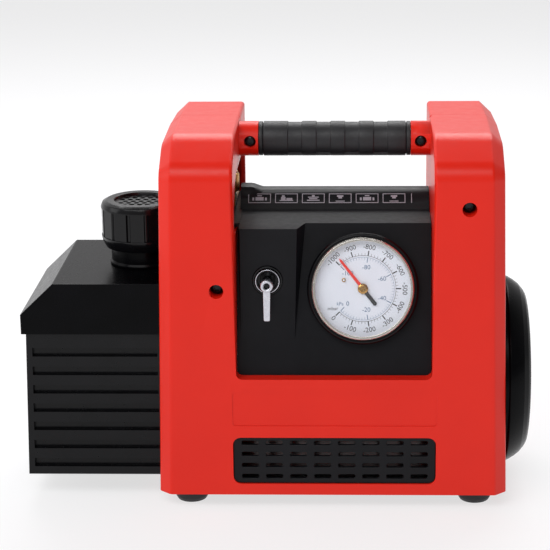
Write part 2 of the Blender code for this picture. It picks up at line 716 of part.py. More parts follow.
def make_valve():
    seat = [(9.8, 61.9), (11.4, 61.9), (11.4, 57.8), (9.8, 57.8)]
    turned("valve_seat", seat, (VALVE_X, 0, VALVE_Z), (0, -1, 0), BLACK)
    body = [(0, 49.0), (3.3, 49.0), (3.3, 59.0), (7.5, 59.0), (7.5, 63.6), (9.3, 63.6), (9.3, 36.0),
            (0, 36.0)]
    turned("valve_body", body, (VALVE_X, 0, VALVE_Z), (0, -1, 0), STEEL)
    stem = [(0, 74.4), (2.3, 74.4), (2.3, 77.2), (4.9, 77.2), (4.9, 72.0), (2.9, 71.0), (2.9, 51.0),
            (0, 51.0)]
    lever = turned("valve_lever", stem, (VALVE_X, 0, VALVE_Z), (0, -1, 0), STEEL, COARSE)
    arm = [(VALVE_X - 2.5, VALVE_Z - 27.6), (VALVE_X + 2.3, VALVE_Z - 27.6), (VALVE_X + 2.8, VALVE_Z - 4.0),
           (VALVE_X - 2.8, VALVE_Z - 4.0)]
    join(lever, extruded("arm", [arm], "Y", -76.8, -74.4))


def make_gauge_line():
    """Copper line that leaves the valve body and the gauge straight back and joins them in one bow."""
    start = Vector((VALVE_X + 4.0, -35.6, VALVE_Z))
    end = Vector(GAUGE_CENTER) - Vector(PANEL_NORMAL) * 20.4
    reach = 26.0
    handles = (start, start + Vector((0, reach, 0)), end - Vector(PANEL_NORMAL) * reach, end)
    curve = bpy.data.curves.new("gauge_line", "CURVE")
    curve.dimensions = "3D"
    curve.bevel_depth = 1.6 * MM
    curve.bevel_resolution = 2
    curve.use_fill_caps = True
    steps = 14
    spline = curve.splines.new("POLY")
    spline.points.add(steps)
    for index, point in enumerate(spline.points):
        along = index / steps
        weights = ((1 - along) ** 3, 3 * along * (1 - along) ** 2, 3 * along ** 2 * (1 - along), along ** 3)
        place = sum((weight * handle for weight, handle in zip(weights, handles)), Vector())
        point.co = (*(place * MM), 1.0)
    holder = bpy.data.objects.new("gauge_line_path", curve)
    PARTS.objects.link(holder)
    bpy.context.view_layer.update()
    mesh = bpy.data.meshes.new_from_object(holder.evaluated_get(bpy.context.evaluated_depsgraph_get()))
    bm = bmesh.new()
    bm.from_mesh(mesh)
    bmesh.ops.remove_doubles(bm, verts=bm.verts, dist=0.000001)
    mesh_object("gauge_line", bm, COPPER)
    bpy.data.objects.remove(holder, do_unlink=True)


# ---------------------------------------------------------------- oil tank and exhaust

def fin_grooves(level):
    """Grooves in the tank's front, back and left end, which stop short of its upright corners."""
    top = FIN_TOP_Z - FIN_PITCH * level
    bottom = top - FIN_GROOVE
    corner_x = TANK_LEFT_TOP_X - TANK_DRAFT * (TANK_Z[1] - top)
    wall_y = TANK_Y - FIN_DEPTH
    land_y = TANK_Y - FIN_LAND
    return (box("front_groove", (corner_x + FIN_LAND, -75, bottom), (FIN_RIGHT_X, -wall_y, top)),
            box("back_groove", (corner_x + FIN_LAND, wall_y, bottom), (FIN_RIGHT_X, 75, top)),
            box("end_groove", (-210, -land_y, bottom), (corner_x + FIN_DEPTH, land_y, top)))


def make_oil_tank():
    outline = [(TANK_RIGHT_X, TANK_Z[0]), (TANK_RIGHT_X, TANK_Z[1]), (TANK_LEFT_TOP_X, TANK_Z[1]),
               (TANK_LEFT_FOOT_X, TANK_Z[0])]
    tank = extruded("oil_tank", [outline], "Y", -TANK_Y, TANK_Y, TANK_BLACK)
    for level in range(FIN_COUNT):
        cut(tank, *fin_grooves(level))
    join(tank, rod("glass_pad", (-187.0, 0, 62), (-195.7, 0, 62), 16.3),
         rod("drain_pad", (-150, 55.5, 36), (-150, 62.5, 36), 10.6))
    cut(tank, box("tank_cavity", (-186.0, -53.5, 25.0), (-86.0, 53.5, 150.0)),
        rod("pump_hole", (-90, 0, SHAFT_Z), (-70, 0, SHAFT_Z), STATOR_R + 2.0),
        rod("glass_hole", (-200, 0, 62), (-180, 0, 62), 10.0),
        rod("drain_hole", (-150, 50, 36), (-150, 70, 36), 5.3))
    bezel = [(9.7, 196.6), (14.0, 196.6), (14.0, 196.0), (9.7, 196.0), (9.7, 194.0), (8.2, 194.0),
             (8.2, 196.3)]
    turned("sight_glass_bezel", bezel, (0, 0, 62), (-1, 0, 0), STEEL, COARSE)
    glass = [(0, 193.7), (9.6, 193.7), (9.6, 188.0), (0, 188.0)]
    turned("sight_glass", glass, (0, 0, 62), (-1, 0, 0), GLASS, COARSE)
    plug = [(0, 68.0), (6.5, 68.0), (7.5, 67.0), (7.5, 62.8), (5.0, 62.8), (5.0, 52.0), (0, 52.0)]
    turned("drain_plug", plug, (-150, 0, 36), (0, 1, 0), BRASS, COARSE)


def make_tank_lid():
    outline = [(-HALF_LENGTH, LID_Z[0]), (TANK_RIGHT_X, LID_Z[0]), (TANK_RIGHT_X, LID_Z[1]),
               (LID_TOP_LEFT_X, LID_Z[1]), (-HALF_LENGTH, LID_CHAMFER_Z)]
    lid = extruded("tank_lid", [outline], "Y", -LID_Y, LID_Y, TANK_BLACK)
    hollow = [(-190.0, 130.0), (-85.0, 130.0), (-85.0, 172.0), (-168.0, 172.0), (-190.0, 150.5)]
    cut(lid, extruded("lid_hollow", [hollow], "Y", -58.0, 58.0),
        rod("neck_bore", (CAP_X, 0, 160), (CAP_X, 0, 210), NECK_BORE_R))
    gasket = [rectangle((-192.0, TANK_RIGHT_X - 0.3), (-60.0, 60.0)),
              rectangle((-187.0, -85.5), (-54.5, 54.5))]
    extruded("tank_gasket", gasket, "Z", 136.1, 136.35, RUBBER)


def make_exhaust_neck():
    low, high = NECK_Z
    profile = [(THREAD_ROOT_R, high), (THREAD_ROOT_R, NECK_SHOULDER_Z), (NECK_R, NECK_SHOULDER_Z),
               (NECK_R, low), (NECK_BORE_R, low), (NECK_BORE_R, high)]
    turned("exhaust_neck", profile, (CAP_X, 0, 0), (0, 0, 1), TANK_BLACK)


def make_exhaust_cap():
    cap = [(0, 226.0), (20.8, 226.0), (21.3, 228.3), (27.5, 228.3), (30.4, 226.8), (31.8, 223.4),
           (31.8, 197.0), (28.6, 191.4), (25.3, 191.4), (25.3, 222.4), (0, 222.4)]
    turned("exhaust_cap", cap, (CAP_X, 0, 0), (0, 0, 1), BLACK)
    felt = [(12.0, 221.6), (19.4, 221.6), (19.4, 181.0), (12.0, 181.0)]
    turned("filter_element", felt, (CAP_X, 0, 0), (0, 0, 1), FELT, COARSE)


# ---------------------------------------------------------------- inlet ports

def make_inlets():
    block = box("inlet_manifold", (-70.0, -4.0, MANIFOLD_Z[0]), (-33.8, 48.0, MANIFOLD_Z[1]), BRASS)
    join(block, rod("column", (COLUMN_X, 10, 146.8), (COLUMN_X, 10, 226), 7.0))
    for size, (y, cap_r, stub_r, top) in PORTS.items():
        stub_top = top - 6.0
        join(block, rod("stub", (PORT_X, y, 228), (PORT_X, y, stub_top), stub_r))
        cut(block, rod("stub_bore", (PORT_X, y, 230), (PORT_X, y, stub_top + 4), stub_r - 2.2,
                       sides=COARSE))
        bore_r = stub_r + PORT_THREAD_DEPTH + GAP
        cap = [(0, top), (cap_r - 1, top), (cap_r, top - 1), (cap_r, 232.6), (bore_r, 232.6),
               (bore_r, top - 3.4), (0, top - 3.4)]
        turned("inlet_cap_" + size, cap, (PORT_X, y, 0), (0, 0, 1), BRASS, COARSE)
        seal = [(0, top - 3.8), (stub_r, top - 3.8), (stub_r, top - 5.6), (0, top - 5.6)]
        turned("inlet_seal_" + size, seal, (PORT_X, y, 0), (0, 0, 1), RUBBER, COARSE)


# ---------------------------------------------------------------- pump and motor on the shaft axis

def on_shaft(name, profile, material, steps=MEDIUM):
    return turned(name, profile, (0, 0, SHAFT_Z), (1, 0, 0), material, steps)


def make_pump_bracket():
    x0, x1 = BRACKET_X
    bracket = box("pump_bracket", (x0, -56.0, 30.0), (x1 - 12.0, 56.0, 138.0), CAST)
    join(bracket, rod("hub", (x0 + 4, 0, SHAFT_Z), (x1, 0, SHAFT_Z), 36.0),
         box("inlet_boss", (-73.0, -2.0, 120.0), (x1 - 1.0, 22.0, 146.4)))
    cut(bracket, rod("shaft_bore", (-90, 0, SHAFT_Z), (-40, 0, SHAFT_Z), SHAFT_R + 0.5),
        rod("inlet_bore", (COLUMN_X, 10, 128), (COLUMN_X, 10, 150), 4.0, sides=16))


def make_stage(name, x_range):
    """One pumping stage: cup-shaped stator, slotted rotor and its two vanes."""
    x0, x1 = x_range
    stator = rod(name + "_stage_stator", (x0, 0, SHAFT_Z), (x1, 0, SHAFT_Z), STATOR_R, IRON)
    bore_z = SHAFT_Z + STATOR_BORE_LIFT
    cut(stator, rod("stator_bore", (x0 + STAGE_END_WALL, 0, bore_z), (x1 + 5, 0, bore_z), STATOR_BORE_R),
        rod("shaft_bore", (x0 - 5, 0, SHAFT_Z), (x1 + 5, 0, SHAFT_Z), SHAFT_R + 0.5))
    rotor_x = (x0 + STAGE_END_WALL + GAP, x1 - GAP)
    rotor = rod(name + "_stage_rotor", (rotor_x[0], 0, SHAFT_Z), (rotor_x[1], 0, SHAFT_Z), ROTOR_R, STEEL)
    cut(rotor, rod("rotor_bore", (x0, 0, SHAFT_Z), (x1 + 5, 0, SHAFT_Z), SHAFT_R + GAP))
    half = VANE_THICKNESS / 2
    for number, side in ((1, 1.0), (2, -1.0)):
        slot = sorted((side * 9.5, side * (ROTOR_R + 2)))
        cut(rotor, box("vane_slot", (x0, slot[0], SHAFT_Z - half - GAP),
                       (x1 + 5, slot[1], SHAFT_Z + half + GAP)))
        blade = sorted((side * 10.0, side * (ROTOR_R - 0.6)))
        vane = box(name + "_stage_vane_" + str(number), (rotor_x[0], blade[0], SHAFT_Z - half),
                   (rotor_x[1], blade[1], SHAFT_Z + half), COMPOSITE)
        set_origin(vane, ((x0 + x1) / 2, 0, SHAFT_Z))


def make_pump():
    make_pump_bracket()
    for name, x_range in STAGES.items():
        make_stage(name, x_range)
    on_shaft("pump_end_cover", [(0, -162.4), (36.0, -162.4), (36.0, -170.0), (0, -170.0)], CAST)


def make_motor():
    shell = [(16.2, 158), (MOTOR_R, 158), (MOTOR_R, -28), (MOTOR_R - 3, -28), (MOTOR_R - 3, 154),
             (16.2, 154)]
    on_shaft("motor_shell", shell, BLACK_STEEL)
    bracket = [(16.2, -28.3), (MOTOR_R, -28.3), (MOTOR_R, -54.5), (46, -54.5), (46, -36), (16.2, -36)]
    on_shaft("motor_end_bracket", bracket, CAST)
    stator = [(35, 122), (50, 122), (50, 108), (52.6, 108), (52.6, 22), (50, 22), (50, 8), (35, 8),
              (35, 22), (31.8, 22), (31.8, 108), (35, 108)]
    on_shaft("motor_stator", stator, COPPER)
    on_shaft("motor_rotor", [(SHAFT_R + GAP, 108), (31.2, 108), (31.2, 22), (SHAFT_R + GAP, 22)], STEEL)
    on_shaft("motor_shaft", [(0, 184), (SHAFT_R, 184), (SHAFT_R, -161.8), (0, -161.8)], STEEL, COARSE)
    for name, x in (("bearing_front", -35.0), ("bearing_rear", 147.0)):
        ring = [(SHAFT_R + GAP, x + 9), (15.8, x + 9), (15.8, x), (SHAFT_R + GAP, x)]
        on_shaft(name, ring, STEEL, COARSE)
    rod("capacitor", (15, 25, 171), (85, 25, 171), 16.0, BLACK, 20)


def make_fan():
    disc = [(SHAFT_R + GAP, 179), (13, 179), (13, 168.5), (FAN_R, 168.5), (FAN_R, 166),
            (SHAFT_R + GAP, 166)]
    fan = on_shaft("cooling_fan", disc, BLACK)
    for blade in range(7):
        turn = Matrix.Rotation(math.tau * blade / 7, 4, "X")
        vane = box("blade", (167, -1, 11), (180, 1, FAN_R - 0.5))
        vane.matrix_world = Matrix.Translation((0, 0, SHAFT_Z * MM)) @ turn @ vane.matrix_world
        join(fan, vane)


def make_fan_cover():
    bowl = [(0, HALF_LENGTH), (57.5, HALF_LENGTH), (60.5, 196.1), (63.5, 194.4), (67.8, 190.8),
            (73.2, 183.0), (75.0, FAN_LIP_X), (FAN_OPENING_R - GAP, FAN_LIP_X),
            (FAN_OPENING_R - GAP, 165.0), (69.4, 165.0), (69.4, 182.4), (65.6, 189.2),
            (61.6, 192.4), (57.0, 194.0), (0, 194.0)]
    cover = on_shaft("fan_cover", bowl, TANK_BLACK, FINE)
    for slot in range(12):
        turn = Matrix.Rotation(math.tau * slot / 12, 4, "X")
        opening = box("vent", (188, -2.2, 20), (205, 2.2, 48))
        opening.matrix_world = Matrix.Translation((0, 0, SHAFT_Z * MM)) @ turn @ opening.matrix_world
        cut(cover, opening)


# ---------------------------------------------------------------- power inlet and switch

def make_power_inlet():
    x0 = INLET_X - INLET_HALF_WIDTH
    x1 = INLET_X + INLET_HALF_WIDTH
    inlet = box("power_inlet", (x0, 58.0, INLET_Z[0]), (x1, BACK_Y - 0.6, INLET_Z[1]), BLACK)
    cut(inlet, box("socket", (INLET_X - 11, 62.0, 165.5), (INLET_X + 11, 85.0, 181.0)),
        box("switch_well", (INLET_X - 9.6, 62.0, SWITCH_Z - 10.6), (INLET_X + 9.6, 85.0, SWITCH_Z + 10.6)))
    for x, z in ((-7, 171.5), (7, 171.5), (0, 176.0)):
        join(inlet, box("pin", (INLET_X + x - 1, 60.0, z - 2), (INLET_X + x + 1, 75.0, z + 2)))


def make_power_switch():
    outline = [(-5.0, -5.0), (4.2, -8.6), (5.0, 0.0), (4.2, 8.6), (-5.0, 5.0)]
    rocker = extruded("power_switch", [outline], "X", -9.0, 9.0, RUBBER)
    place = Matrix.Translation(Vector((INLET_X, SWITCH_Y, SWITCH_Z)) * MM)
    rocker.matrix_world = place @ Matrix.Rotation(-ROCKER_TILT, 4, "X") @ rocker.matrix_world
    return rocker


def build():
    make_front_shell()
    make_rear_shell()
    make_base()
    make_front_grille()
    make_handle()
    make_shell_screws()
    make_cowl()
    make_gauge()
    make_valve()
    make_gauge_line()
    make_oil_tank()
    make_tank_lid()
    make_exhaust_neck()
    make_exhaust_cap()
    make_inlets()
    make_pump()
    make_motor()
    make_fan()
    make_fan_cover()
    make_power_inlet()
    make_power_switch()


build()
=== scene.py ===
"""Looks of the two-stage rotary vane vacuum pump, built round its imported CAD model.

Frame: metres, +Z up, gauge side towards -Y, oil tank at -X. Lengths in this file are in
millimetres unless a comment says otherwise, and MM turns them into Blender's metres.
"""
import json
import math

import bmesh
import bpy
from mathutils import Matrix, Vector


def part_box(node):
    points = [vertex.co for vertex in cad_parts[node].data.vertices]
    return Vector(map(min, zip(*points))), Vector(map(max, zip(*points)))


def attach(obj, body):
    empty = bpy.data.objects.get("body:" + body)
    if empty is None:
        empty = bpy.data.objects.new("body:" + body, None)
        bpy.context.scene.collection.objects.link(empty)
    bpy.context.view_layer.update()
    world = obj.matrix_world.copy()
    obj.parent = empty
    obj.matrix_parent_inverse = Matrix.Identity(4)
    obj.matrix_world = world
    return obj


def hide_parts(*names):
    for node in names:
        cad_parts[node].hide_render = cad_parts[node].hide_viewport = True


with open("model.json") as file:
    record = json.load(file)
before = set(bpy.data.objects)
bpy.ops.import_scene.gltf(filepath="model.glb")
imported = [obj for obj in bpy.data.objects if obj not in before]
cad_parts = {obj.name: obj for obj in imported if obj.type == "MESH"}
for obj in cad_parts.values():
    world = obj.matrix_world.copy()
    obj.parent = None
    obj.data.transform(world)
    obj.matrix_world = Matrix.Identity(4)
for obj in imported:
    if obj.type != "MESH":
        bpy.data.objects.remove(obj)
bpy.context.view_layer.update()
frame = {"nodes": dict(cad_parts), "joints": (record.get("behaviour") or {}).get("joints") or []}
NODES = frame["nodes"]

MM = 0.001
SMOOTH = 96                    # facets round a turned piece

# The tilted instrument panel, as in the CAD
PANEL_TILT = math.radians(15.0)
PANEL_RIGHT = Vector((1, 0, 0))
PANEL_UP = Vector((0, math.sin(PANEL_TILT), math.cos(PANEL_TILT)))
PANEL_NORMAL = Vector((0, -math.cos(PANEL_TILT), math.sin(PANEL_TILT)))

# Gauge scale: angles in degrees, counter-clockwise from the dial's right
SCALE_START = -135.0
DEGREES_PER_STEP = 27.0
SCALE_STEPS = 10
TICKS_PER_STEP = 5
POINTER_ANGLE = 128.4

# The roll along the cowl's top
ROLL_Y = 17.0
ROLL_Z = 215.5
ROLL_R = 18.0


# ---------------------------------------------------------------- places read from the frame

def joint(name):
    return next(item for item in frame["joints"] if item["name"] == name)


def box_mm(node):
    low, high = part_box(node)
    return low / MM, high / MM


def middle(node):
    low, high = box_mm(node)
    return (low + high) / 2


GAUGE_CENTER = Vector(joint("pointer_sweep")["pos_m"]) / MM
CAP_AXIS = Vector(joint("exhaust_cap_turn")["pos_m"]) / MM
LEVER_AXIS = Vector(joint("lever_turn")["pos_m"]) / MM
SHAFT_AXIS = Vector(joint("shaft_spin")["pos_m"]) / MM


# ---------------------------------------------------------------- materials

def linear(code):
    """Linear colour of a hex code such as 'E63A28'."""
    values = [int(code[index:index + 2], 16) / 255 for index in (0, 2, 4)]
    return [value / 12.92 if value <= 0.04045 else ((value + 0.055) / 1.055) ** 2.4
            for value in values]


class Surface:
    """A Principled material with colour, roughness and bump from noise in the object's own space."""

    def __init__(self, name, color, roughness, metallic=0.0, **sockets):
        self.material = bpy.data.materials.new(name)
        self.material.use_nodes = True
        self.tree = self.material.node_tree
        self.shader = self.tree.nodes["Principled BSDF"]
        self.color = linear(color)
        self.shader.inputs["Base Color"].default_value = (*self.color, 1.0)
        self.shader.inputs["Roughness"].default_value = roughness
        self.shader.inputs["Metallic"].default_value = metallic
        for socket, value in sockets.items():
            self.shader.inputs[socket.replace("_", " ")].default_value = value
        self.roughness = roughness
        self.place = self.node("ShaderNodeTexCoord").outputs["Object"]
        self.height = None

    def node(self, kind, **values):
        made = self.tree.nodes.new(kind)
        for key, value in values.items():
            made.inputs[key.replace("_", " ")].default_value = value
        return made

    def link(self, source, target):
        self.tree.links.new(source, target)

    def noise(self, per_mm, detail=3.0, stretch=(1, 1, 1)):
        """Noise with about per_mm features in a millimetre, longer along axes with a small stretch."""
        scaled = self.node("ShaderNodeMapping", Scale=stretch)
        texture = self.node("ShaderNodeTexNoise", Scale=per_mm / MM, Detail=detail)
        self.link(self.place, scaled.inputs["Vector"])
        self.link(scaled.outputs["Vector"], texture.inputs["Vector"])
        return texture.outputs["Fac"]

    def spread(self, source, low, high):
        """Maps noise, which stays near its middle, to a range."""
        ranged = self.node("ShaderNodeMapRange", From_Min=0.3, From_Max=0.7, To_Min=low, To_Max=high)
        self.link(source, ranged.inputs["Value"])
        return ranged.outputs["Result"]

    def tint(self, other, per_mm, amount, **shape):
        """Shifts the colour towards another one in patches."""
        mix = self.tree.nodes.new("ShaderNodeMixRGB")
        mix.inputs[1].default_value = (*self.color, 1.0)
        mix.inputs[2].default_value = (*linear(other), 1.0)
        self.link(self.spread(self.noise(per_mm, **shape), 0.0, amount), mix.inputs[0])
        self.link(mix.outputs[0], self.shader.inputs["Base Color"])
        return self

    def polish(self, per_mm, amount, **shape):
        """Varies the roughness about its own value."""
        pattern = self.noise(per_mm, **shape)
        varied = self.spread(pattern, self.roughness - amount, self.roughness + amount)
        self.link(varied, self.shader.inputs["Roughness"])
        return self

    def relief(self, per_mm, depth, strength=0.5, **shape):
        """Adds bump of a depth in millimetres; calls add up."""
        bump = self.node("ShaderNodeBump", Strength=strength, Distance=depth * MM)
        self.link(self.noise(per_mm, **shape), bump.inputs["Height"])
        if self.height:
            self.link(self.height, bump.inputs["Normal"])
        self.height = bump.outputs["Normal"]
        self.link(self.height, self.shader.inputs["Normal"])
        return self


def make_materials():
    """Every finish on the pump, by name."""
    lengthwise = (0.05, 1, 1)
    made = {
        "red": Surface("red_moulding", "E3220E", 0.34, Specular_IOR_Level=0.28)
        .tint("DB1E0C", 0.02, 0.5).polish(0.15, 0.03).relief(2.2, 0.03, 0.25),
        "cowl": Surface("black_moulding", "111114", 0.38, Specular_IOR_Level=0.16)
        .tint("17171B", 0.03, 0.7).polish(0.2, 0.04).relief(2.0, 0.03, 0.25),
        "gloss": Surface("black_gloss_moulding", "08080A", 0.2, Specular_IOR_Level=0.25)
        .tint("0E0E11", 0.04, 0.6)
        .polish(0.25, 0.05).relief(0.6, 0.03, 0.2),
        "paint": Surface("black_powder_coat", "030304", 0.25, Specular_IOR_Level=0.07)
        .tint("07070A", 0.05, 0.7).polish(0.2, 0.03).relief(0.9, 0.006, 0.1),
        "tank_paint": Surface("black_tank_paint", "08080A", 0.24, Specular_IOR_Level=0.2)
        .tint("0E0E11", 0.05, 0.7).polish(0.2, 0.04).relief(0.9, 0.03, 0.2),
        "rubber": Surface("black_rubber", "17171A", 0.52).tint("202024", 0.06, 0.8)
        .polish(0.5, 0.07).relief(3.0, 0.05, 0.4),
        "black_steel": Surface("blackened_steel", "17171A", 0.18, 0.6).tint("222226", 0.3, 0.6)
        .polish(0.5, 0.05).relief(1.2, 0.01, 0.2),
        "nickel": Surface("satin_nickel", "CFCFD6", 0.24, 1.0).tint("B9B9C2", 0.4, 0.6)
        .polish(0.6, 0.07).relief(1.5, 0.012, 0.3),
        "chrome": Surface("bright_bezel_ring", "DAD7D0", 0.24, 0.85).tint("C6C2BA", 0.2, 0.5)
        .polish(0.3, 0.04),
        "steel": Surface("ground_steel", "A9A9AE", 0.3, 1.0)
        .tint("8E8E94", 0.5, 0.6, stretch=lengthwise)
        .polish(0.8, 0.08, stretch=lengthwise).relief(1.5, 0.01, 0.3, stretch=lengthwise),
        "cast": Surface("cast_aluminium", "9C9CA0", 0.5, 1.0).tint("85858A", 0.2, 0.8)
        .polish(0.4, 0.08).relief(0.9, 0.12, 0.5),
        "iron": Surface("cast_iron", "55555A", 0.55, 1.0).tint("434347", 0.3, 0.8)
        .polish(0.4, 0.08).relief(1.1, 0.1, 0.5),
        "brass": Surface("machined_brass", "C79A55", 0.28, 1.0).tint("A87C3C", 0.3, 0.7)
        .polish(0.5, 0.08).relief(1.4, 0.012, 0.3),
        "copper": Surface("drawn_copper", "B5683F", 0.3, 1.0).tint("8E4A2A", 0.2, 0.7)
        .polish(0.4, 0.08).relief(1.2, 0.012, 0.3),
        "winding": Surface("varnished_winding", "8C4A22", 0.38, 0.6).tint("5E2E14", 0.9, 0.9)
        .polish(0.6, 0.08).relief(0.8, 0.2, 0.6),
        "glass": Surface("clear_glass", "EEF4F8", 0.04, Alpha=0.03).polish(0.02, 0.01),
        "oil": Surface("pump_oil", "B4741A", 0.08).tint("8E560F", 0.08, 0.6),
        "dial": Surface("dial_enamel", "E9EDF7", 0.45).tint("E0E5F1", 0.05, 0.6).relief(1.5, 0.01, 0.2),
        "ink": Surface("black_print", "0C0C10", 0.5).tint("17171C", 1.5, 0.6),
        "blue_ink": Surface("blue_print", "41668C", 0.5).tint("557799", 1.5, 0.6),
        "white_ink": Surface("pale_print", "A7A2AB", 0.5).tint("8F8A94", 1.2, 0.8),
        "pointer": Surface("pointer_red", "F02A18", 0.35).tint("DE2414", 0.3, 0.6),
        "composite": Surface("vane_composite", "4A3A2C", 0.6)
        .tint("2E241B", 0.8, 0.9, stretch=lengthwise).relief(1.5, 0.05, 0.4, stretch=lengthwise),
        # The felt's dark colour is partly painted shade: it stands for the shade inside the exhaust cap,
        # seen through the cap's holes
        "felt": Surface("felt_dark_with_painted_shade", "3A362E", 0.9).tint("25221D", 0.6, 0.9).relief(1.8, 0.3, 0.8),
    }
    return {name: surface.material for name, surface in made.items()}


MATERIALS = make_materials()

# Which finish each CAD node gets where it still shows
FINISHES = {
    "red": ("front_shell", "rear_shell"),
    "cowl": ("instrument_cowl", "front_grille", "power_inlet", "valve_seat", "capacitor"),
    "gloss": ("exhaust_cap", "cooling_fan"),
    "rubber": ("foot_1", "foot_2", "foot_3", "foot_4", "handle_grip", "tank_gasket", "inlet_seal_large",
               "inlet_seal_small", "power_switch"),
    "paint": ("tank_lid", "exhaust_neck", "fan_cover"),
    "tank_paint": ("oil_tank",),
    "black_steel": ("base_plate", "shell_screw_left", "shell_screw_right", "handle_screw_left",
                    "handle_screw_right", "gauge_case", "motor_shell"),
    "cast": ("pump_bracket", "pump_end_cover", "motor_end_bracket"),
    "iron": ("high_stage_stator", "low_stage_stator"),
    "steel": ("handle_core", "high_stage_rotor", "low_stage_rotor", "motor_rotor", "motor_shaft",
              "bearing_front", "bearing_rear"),
    "nickel": ("gauge_bezel", "valve_body", "valve_lever", "sight_glass_bezel"),
    "brass": ("inlet_manifold", "inlet_cap_large", "inlet_cap_small", "drain_plug"),
    "copper": ("gauge_line",),
    "winding": ("motor_stator",),
    "glass": ("gauge_lens", "sight_glass"),
    "dial": ("gauge_dial",),
    "pointer": ("gauge_pointer",),
    "composite": ("high_stage_vane_1", "high_stage_vane_2", "low_stage_vane_1", "low_stage_vane_2"),
    "felt": ("filter_element",),
}


def finish_cad_nodes():
    for finish, nodes in FINISHES.items():
        for name in nodes:
            node = NODES[name]
            node.data.materials.clear()
            node.data.materials.append(MATERIALS[finish])


# ---------------------------------------------------------------- mesh tools

def aim(direction):
    """Rotation that turns +Z to a direction."""
    return Vector(direction).to_track_quat("Z", "Y").to_matrix().to_4x4()


def add_piece(name, bm, finish, body="root", replaced=(), smooth_degrees=35):
    """Turns a bmesh in metres into a piece that rides on a body."""
    bmesh.ops.recalc_face_normals(bm, faces=bm.faces)
    mesh = bpy.data.meshes.new(name)
    bm.to_mesh(mesh)
    bm.free()
    mesh.materials.append(MATERIALS[finish])
    mesh.shade_smooth()
    mesh.set_sharp_from_angle(angle=math.radians(smooth_degrees))
    piece = bpy.data.objects.new(name, mesh)
    bpy.context.scene.collection.objects.link(piece)
    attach(piece, body)
    if replaced:
        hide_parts(*replaced)
    return piece


def keep_faces_flat(piece):
    normals = piece.modifiers.new("flat_faces", "WEIGHTED_NORMAL")
    normals.keep_sharp = True
    return piece


def add_bevel(piece, width, segments=3, degrees=30):
    bevel = piece.modifiers.new("soft_edges", "BEVEL")
    bevel.width = width * MM
    bevel.segments = segments
    bevel.limit_method = "ANGLE"
    bevel.angle_limit = math.radians(degrees)
    bevel.use_clamp_overlap = True
    bevel.miter_outer = "MITER_ARC"
    return keep_faces_flat(piece)


def cad_copy(node, whole_faces=True):
    """The CAD node's shape as a bmesh, with its flat faces whole or still in triangles."""
    bm = bmesh.new()
    bm.from_mesh(NODES[node].data)
    bmesh.ops.remove_doubles(bm, verts=bm.verts, dist=0.002 * MM)
    if whole_faces:
        bmesh.ops.dissolve_limit(bm, angle_limit=math.radians(0.6), verts=bm.verts, edges=bm.edges)
    return bm


def softened(node, piece_name, finish, width, body="root", segments=3, degrees=30):
    """Stands for a CAD node: the same shape with rounded edges."""
    shape = cad_copy(node, whole_faces=False)
    piece = add_piece(piece_name, shape, finish, body, (node,), smooth_degrees=degrees)
    return add_bevel(piece, width, segments, degrees)


def round_profile(points, radius, steps=4, closed=False):
    """Rounds each corner of a profile, as far as its two sides leave room."""
    rounded = []
    count = len(points)
    for index, point in enumerate(points):
        here = Vector(point)
        if not closed and index in (0, count - 1):
            rounded.append(tuple(here))
            continue
        back = Vector(points[index - 1]) - here
        ahead = Vector(points[(index + 1) % count]) - here
        half_angle = back.angle(ahead) / 2
        if half_angle > math.radians(85):
            rounded.append(tuple(here))
            continue
        reach = min(radius / math.tan(half_angle), 0.45 * back.length, 0.45 * ahead.length)
        start = here + back.normalized() * reach
        end = here + ahead.normalized() * reach
        for step in range(steps + 1):
            along = step / steps
            left = 1 - along
            rounded.append(tuple(start * left ** 2 + here * 2 * along * left + end * along ** 2))
    return rounded


def revolved(profile, place, direction, shape=None, steps=SMOOTH):
    """Turned form as a bmesh; shape(radius, height, angle) may change the radius round the turn."""
    bm = bmesh.new()
    matrix = Matrix.Translation(Vector(place) * MM) @ aim(direction)
    rings = []
    for radius, height in profile:
        if radius == 0.0:
            rings.append([bm.verts.new(matrix @ Vector((0, 0, height * MM)))])
            continue
        ring = []
        for step in range(steps):
            angle = math.tau * step / steps
            reach = shape(radius, height, angle) if shape else radius
            ring.append(bm.verts.new(matrix @ Vector((reach * math.cos(angle) * MM,
                                                      reach * math.sin(angle) * MM, height * MM))))
        rings.append(ring)
    pairs = list(zip(rings, rings[1:]))
    if profile[0][0] > 0.0:
        pairs.append((rings[-1], rings[0]))
    for ring, following in pairs:
        for step in range(steps):
            other = (step + 1) % steps
            corners = [ring[step % len(ring)], ring[other % len(ring)],
                       following[other % len(following)], following[step % len(following)]]
            bm.faces.new(list(dict.fromkeys(corners)))
    return bm


def add_turned(name, profile, place, direction, finish, body="root", replaced=(), slot=None, **turning):
    """Turned piece; turning goes on to revolved."""
    return add_piece(name, revolved(profile, place, direction, **turning), finish, body, replaced)


def slab(bm, corners, frame_matrix, low, high):
    """Adds a closed plate: a flat outline (u, v) between two heights of a frame."""
    bottom = [bm.verts.new(frame_matrix @ Vector((u * MM, v * MM, low * MM))) for u, v in corners]
    top = [bm.verts.new(frame_matrix @ Vector((u * MM, v * MM, high * MM))) for u, v in corners]
    bm.faces.new(bottom)
    bm.faces.new(top)
    count = len(corners)
    for index in range(count):
        other = (index + 1) % count
        bm.faces.new((bottom[index], bottom[other], top[other], top[index]))


# A frame that looks at the pump from the front: u to the right, v up, height towards the viewer
FRONTAL = Matrix(((1, 0, 0, 0), (0, 0, -1, 0), (0, 1, 0, 0), (0, 0, 0, 1)))


def polar(radius, degrees):
    angle = math.radians(degrees)
    return (radius * math.cos(angle), radius * math.sin(angle))


def evaluated_mesh(item):
    bpy.context.view_layer.update()
    return bpy.data.meshes.new_from_object(item.evaluated_get(bpy.context.evaluated_depsgraph_get()))


